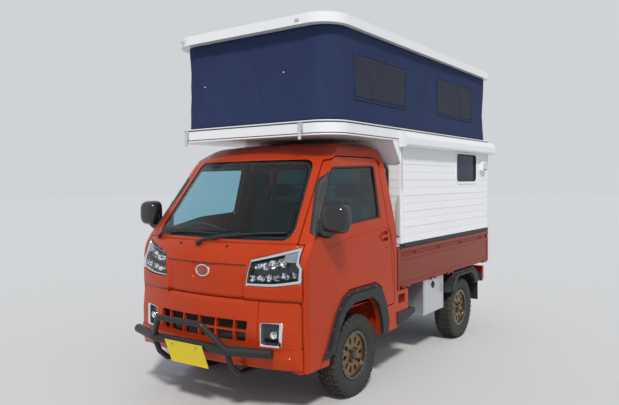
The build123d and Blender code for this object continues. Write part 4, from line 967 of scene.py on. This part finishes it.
def siding_wall(name, point_at, length, holes=()):
    """A sheet of horizontal laps; point_at(distance, height, out) places it and holes are left open."""
    heights, z = [RIM_LOW - .001], WALL_LOW
    while z < RIM_LOW - .002:
        heights += [z, z + LAP * LAP_EDGE, z + LAP * .5]
        z += LAP
    heights += [h for hole in holes for h in hole[2:]]
    heights = sorted({round(h, 5) for h in heights if h <= RIM_LOW - .001})
    stops = sorted({0, length, *(d for hole in holes for d in hole[:2])})
    bag = Bag()
    bag.points = [point_at(d, h, .0006 + lap_profile(h + 1e-5)) for h in heights for d in stops]
    columns = len(stops)
    for r, (h0, h1) in enumerate(zip(heights, heights[1:])):
        for c, (d0, d1) in enumerate(zip(stops, stops[1:])):
            d, h, i = (d0 + d1) / 2, (h0 + h1) / 2, r * columns + c
            if not any(a < d < b and low < h < high for a, b, low, high in holes):
                bag.faces.append((i, i + 1, i + columns + 1, i + columns))
    bag.piece(name, "white_siding", sharp=12)


def side_window(side, name):
    """White outer frame and black inner seal of a camper side window."""
    loop = oblong(*WINDOW, .045, 6)
    for label, material, rows in (
            ("frame", "white_plastic", ((-.024, 0), (-.022, .0065), (-.004, .0075), (0, .0035), (.001, -.008))),
            ("seal", "black_plastic", ((-.0015, -.003), (.002, .0035), (.012, .002), (.014, -.009)))):
        bag = Bag()
        bag.moulding(loop, rows, lambda x, z, out: at(side * (WALL_HALF + out), x, z))
        bag.piece(f"camper_window_{label}_{name}", material, sharp=50)


def side_lamp():
    """The small outside lamp at the upper rear corner of the camper's left side."""
    loop = rounded_loop([(3.14, 1.556), (3.15, 1.65), (3.262, 1.65), (3.262, 1.556)], .014)
    for label, material, rows in (
            ("body", "white_plastic", ((0, .731), (0, .762), (.003, .77), (.008, .773))),
            ("lens", "lens_blue", ((.012, .7725), (.013, .7755), (.018, .7765)))):
        bag = Bag()
        bag.moulding(loop, rows, lambda s, z, x: at(x, s, z), True)
        bag.piece(f"side_lamp_{label}", material)


def make_walls():
    """Siding on four sides, with the windows, corner trims and the strips along the bed's edge."""
    (s0, z0), (s1, z1) = WINDOW
    window = (s0 - WALL_FRONT - SEAL_GAP, s1 - WALL_FRONT + SEAL_GAP, z0 - SEAL_GAP, z1 + SEAL_GAP)
    for side, name in SIDES:
        siding_wall(f"camper_siding_{name}", lambda d, z, out: at(side * (WALL_HALF + out), WALL_FRONT + d, z),
            WALL_REAR - WALL_FRONT, [window])
        side_window(side, name)
    siding_wall("camper_siding_front", lambda d, z, out: at(-WALL_HALF + d, WALL_FRONT - out, z), 2 * WALL_HALF)
    door = (WALL_HALF - .345, WALL_HALF + .3, WALL_LOW - .01, 1.757)
    siding_wall("camper_siding_rear", lambda d, z, out: at(-WALL_HALF + d, WALL_REAR + out, z), 2 * WALL_HALF, [door])
    trims, strips, knobs, seams = bags(4)
    for side, _ in SIDES:
        for station, sign in ((WALL_FRONT, -1), (WALL_REAR, 1)):
            s, t = Vector((side, 0, 0)), Vector((0, sign, 0))
            trims.rings([[at(side * WALL_HALF, station, z) + s * out + t * back for out, back in CORNER_TRIM]
                for z in (WALL_LOW, RIM_LOW - .002)])
        strips.box(at(side * .7325, 1.404, .9485), at(side * .7372, WALL_REAR, .984), .0015)
        knobs.disc(at(side * .7372, 1.462, .967), (side, 0, 0), [(.01, 0), (.01, .01), (.006, .014)], 16)
        seams.box(at(side * .7375, WALL_FRONT + .001, 1.39), at(side * .739, WALL_FRONT + .007, RIM_LOW - .004))
    trims.piece("camper_corner_trims", "white_plastic")
    strips.piece("bed_edge_strips", "black_plastic")
    knobs.piece("strip_knobs", "black_plastic")
    seams.piece("camper_corner_seams", "black_plastic")


def rim_loop(inset=0, steps=12):
    """Points round the rim, seen from above, from the rear right corner forwards and back."""
    half, front, rear = RIM_HALF - inset, RIM_FRONT + inset, RIM_REAR - inset
    corner, back = .18, .04
    points = []
    for x, s, radius, start in ((-half + back, rear - back, back, 90), (-half + corner, front + corner, corner, 180),
            (half - corner, front + corner, corner, 270), (half - back, rear - back, back, 0)):
        for a in (radians(start + 90 * k / steps) for k in range(steps + 1)):
            points.append(Vector((x + radius * cos(a), s + radius * sin(a))))
    return points


def make_rim_lines():
    """Two thin black lines and a rounded lip round the white rim."""
    for index, (material, height, rows) in enumerate(RIM_LINES):
        bag = Bag()
        bag.moulding(rim_loop(), rows, lambda x, s, up: at(x, s, height + up))
        bag.piece(f"rim_line_{index}", material, sharp=50)


def make_latches():
    """Over-centre latches on the rim's front, and the vents above them on the lid."""
    latch, vents = bags(2)
    for x, station in ((-.6, RIM_FRONT + .004), (.47, RIM_FRONT)):
        latch.box(at(x - .022, station - .008, RIM_LOW + .028), at(x + .022, station - .001, RIM_LOW + .085), .002)
        latch.box(at(x - .012, station - .02, RIM_LOW - .03), at(x + .012, station - .009, RIM_LOW + .074), .003)
        for dx in (-.015, .015):
            ends = (station - .012, RIM_LOW + .05), (station - .013, RIM_TOP - .004)
            latch.tube([at(x + dx, *end) for end in ends], .0022, 8)
        vents.box(at(x - .016, .462, 2.512), at(x + .016, .4715, 2.53), .002)
    latch.piece("rim_latches", "chrome", slot="steel")
    vents.piece("lid_vents", "grey", "camper_lid", slot="steel")


# Spots that a search along the tent's wall tries, and the tent's middle seen from above
TRIES, TENT_MIDDLE = 2000, Vector((0, 2))


class TentWall:
    """The fabric's surface: distance along the wall from the rear right corner, and height from 0 to 1."""

    def __init__(self):
        self.loop = rim_loop(TENT_INSET, 10)
        self.low, self.high = RIM_TOP + .0003, TENT_TOP
        self.marks = [0]
        for a, b in zip(self.loop, self.loop[1:] + self.loop[:1]):
            self.marks.append(self.marks[-1] + (b - a).length)
        self.length = self.marks[-1]
        self.corners = [min(((p - Vector(corner)).length, mark) for p, mark in zip(self.loop, self.marks))[1]
            for corner in ((-.65, .59), (.65, .59), (.69, 3.38), (-.69, 3.38))]

    def flat(self, distance):
        distance %= self.length
        for i, (start, end) in enumerate(zip(self.marks, self.marks[1:])):
            if distance <= end:
                after = self.loop[(i + 1) % len(self.loop)]
                return self.loop[i].lerp(after, (distance - start) / max(end - start, 1e-9))
        return self.loop[0]

    def wrinkle(self, distance, t):
        """Slack, corner creases and small gathers, as an offset outwards."""
        slack = -.01 * sin(pi * t) ** .8
        gap = min(abs(distance - c) for c in self.corners)
        crease = .006 * sin(distance * 60 + 5 * t) * exp(-(gap / .16) ** 2) * sin(pi * t)
        gathers = .003 * sin(distance * 125 + 2 * sin(distance * 7)) * max(0, t - .72) / .28 * (1 - t) * 4
        spot = Vector((distance * 1.6 + t * 1.1, t * .9, 3))
        drift = .006 * noise.noise(spot) + .003 * noise.noise(spot * 3.7 + Vector((0, distance, 0)))
        folds = 0
        for start, lean, top in FOLDS:
            off = distance - start - lean * (t - .5)
            folds += .007 * exp(-(off / .022) ** 2) * max(0, 1 - abs(t - top) / .45)
        edge = min(1, 6 * t, 6 * (1 - t))
        return (slack + crease + drift - folds) * edge + gathers - .0015

    def point(self, distance, t, out=0):
        base = self.flat(distance)
        along = (self.flat(distance + .02) - self.flat(distance - .02)).normalized()
        normal = Vector((-along.y, along.x))
        if (base - TENT_MIDDLE).dot(normal) <= 0:
            normal = -normal
        spot = base + normal * (self.wrinkle(distance % self.length, t) + out)
        return at(spot.x, spot.y, self.low + (self.high - self.low) * t)

    def patch(self, d0, d1, t0, t1, out, columns=40, rows=14):
        return [[self.point(d0 + (d1 - d0) * c / columns, t0 + (t1 - t0) * r / rows, out) for c in range(columns + 1)]
            for r in range(rows + 1)]

    def nearest(self, miss):
        """The distance along the wall where the point seen from above misses by least."""
        return self.length * min(range(TRIES), key=lambda k: miss(self.flat(self.length * k / TRIES))) / TRIES


def make_tent():
    wall, cloth = TentWall(), Bag()
    columns, rows = 420, 26
    cloth.grid([[wall.point(wall.length * c / columns, r / rows) for c in range(columns)]
        for r in range(rows + 1)], True)
    tent = thicken(cloth.piece("tent_canvas", "navy_fabric", sharp=60), .0012)
    with_pieces, high, wide = [], wall.high - wall.low, .016
    band = wide / high
    for side, label in SIDES:
        for index, (s0, s1, z0, z1) in enumerate(((.83, 1.59, 2.035, 2.33), (2.22, 3.01, 2.045, 2.345))):
            d0, d1 = sorted(wall.nearest(lambda p: abs(p.y - s) + 10 * (p.x * side < .65)) for s in (s0, s1))
            t0, t1 = (z0 - wall.low) / high, (z1 - wall.low) / high
            mesh, hem = bags(2)
            mesh.grid(wall.patch(d0, d1, t0, t1, .0022))
            with_pieces.append(thicken(mesh.piece(f"tent_window_{label}_{index}", "mesh", sharp=60), .001))
            for e0, e1, f0, f1 in ((d0 - wide, d1 + wide, t0 - band, t0), (d0 - wide, d1 + wide, t1, t1 + band)):
                hem.grid(wall.patch(e0, e1, f0, f1, .0034, rows=3))
            for e0 in (d0 - wide, d1):
                hem.grid(wall.patch(e0, e0 + wide, t0, t1, .0034, columns=3))
            hem = hem.piece(f"tent_window_hem_{label}_{index}", "navy_fabric", sharp=60)
            with_pieces.append(thicken(hem, .0012))
    snaps = Bag()
    for x, t in ((-.44, .5), (.3, .55)):
        d = wall.nearest(lambda p: abs(p.x - x) + 10 * (p.y > .8))
        snaps.disc(wall.point(d, t, .001), (0, -1, 0), [(.007, 0), (.006, .003), (.002, .004)], 14)
    with_pieces.append(snaps.piece("tent_snaps", "chrome", slot="steel"))
    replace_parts(tent, "camper_tent")
    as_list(with_pieces)
    for piece in [tent] + with_pieces:
        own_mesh(piece)


# Trim and small parts: each over-fender's edge, how far inside it the rivets sit, and their shares of its length

FLARES = (
    ([(.338, .345), (.398, .42), (.494, .606), (.578, .696), (.664, .734), (1.018, .736), (1.104, .69), (1.166, .58),
        (1.204, .45), (1.186, .345)], .012, (.05, .16, .27, .37, .46, .56, .66, .76, .86, .95)),
    ([(2.319, .47), (2.381, .56), (2.456, .6297), (2.941, .6297), (3.021, .57), (3.073, .47)], .009,
        (.06, .2, .34, .48, .62, .76, .92)))


def make_plates():
    """A raised border and two bolts on the blank front plate."""
    middle, tilt = at(0, -.104, .383), Matrix.Rotation(radians(21), 4, "X")
    border, bolts = bags(2)
    border.moulding(oblong((-.165, -.0825), (.165, .0825), .01, 4),
        ((0, -.001), (0, -.002), (.0035, -.0028), (.006, -.0016), (.006, -.0009)),
        lambda x, z, out: middle + tilt @ Vector((x, out, z)))
    border.piece("plate_border", "plate_yellow", sharp=50)
    for x in (-.105, .105):
        bolts.disc(middle + tilt @ Vector((x, -.0008, .058)), tilt @ Vector((0, -1, 0)),
            [(.008, 0), (.008, .002), (.0055, .0045)], 6)
    bolts.piece("plate_bolts", "steel")


def make_flare_rivets():
    """Small rivets along the outer flange of each over-fender, at shares of the flange's length."""
    rivets = Bag()
    for rows, inset, shares in FLARES:
        path = [Vector(p) for p in rows]
        lengths = [(b - a).length for a, b in zip(path, path[1:])]
        for left in (share * sum(lengths) for share in shares):
            for a, b, length in zip(path, path[1:], lengths):
                if left <= length:
                    along = (b - a) / length
                    spot = a + along * left + Vector((along.y, -along.x)) * inset
                    rivets.disc(at(BODY_HALF + .0075, spot.x, spot.y), (1, 0, 0),
                        [(.0048, 0), (.0048, .0015), (.003, .0032)], 8)
                    break
                left -= length
    rivets.mirrored().piece("flare_rivets", "steel")


def make_toolbox():
    """A folded edge round the toolbox door and its black latch."""
    face = .7052
    edge, latch = bags(2)
    edge.moulding(oblong((1.9, .35), (2.3, .62), .012, 4), ((0, -.0005), (0, .0025), (.01, .0025), (.012, .0005)),
        lambda x, z, out: at(face + out, x, z))
    edge.piece("toolbox_edge", "aluminium", sharp=50)
    shape = rounded_loop([(.034 * cos(a), .034 * sin(a)) for a in turns(4)], .008, 3)
    latch.rings([[at(face + out, 2.085 + p.x * k, .575 + p.y * k) for p in shape]
        for out, k in ((0, 1), (.006, .96), (.008, .8), (.0095, .45))])
    latch.piece("toolbox_latch", "black_plastic")


def make_gate_latches():
    """The latch cup and lever at the front end of each side gate."""
    loop = oblong((1.445, .845), (1.53, .895), .024, 5)
    for side, name in SIDES:
        cup, lever = bags(2)
        cup.moulding(loop, ((0, -.0125), (.002, -.0095), (.006, -.0115)),
            lambda s, z, out: at(side * (BODY_HALF + out), s, z), True)
        cup.piece(f"gate_latch_cup_{name}", "bed_paint", f"gate_{name}")
        lever.box(at(side * (BODY_HALF - .0115), 1.456, .864), at(side * (BODY_HALF - .004), 1.518, .88), .002)
        lever.piece(f"gate_latch_lever_{name}", "black_plastic", f"gate_{name}")


MATERIALS = {key: surface(*row) for key, row in SURFACES.items()}
dress_frame()
make_camera()
make_stage()
for wheel in ("front_left", "front_right", "rear_left", "rear_right"):
    tyre(wheel)
    rim_trim(wheel, 1 if "left" in wheel else -1)
make_front()
for door_side, door_name in SIDES:
    door_trim(door_side, door_name)
    mirror(door_side, door_name)
for make in (make_trims, make_seats, make_walls, side_lamp, make_rim_lines, make_latches, make_tent, make_plates,
        make_flare_rivets, make_toolbox, make_gate_latches):
    make()
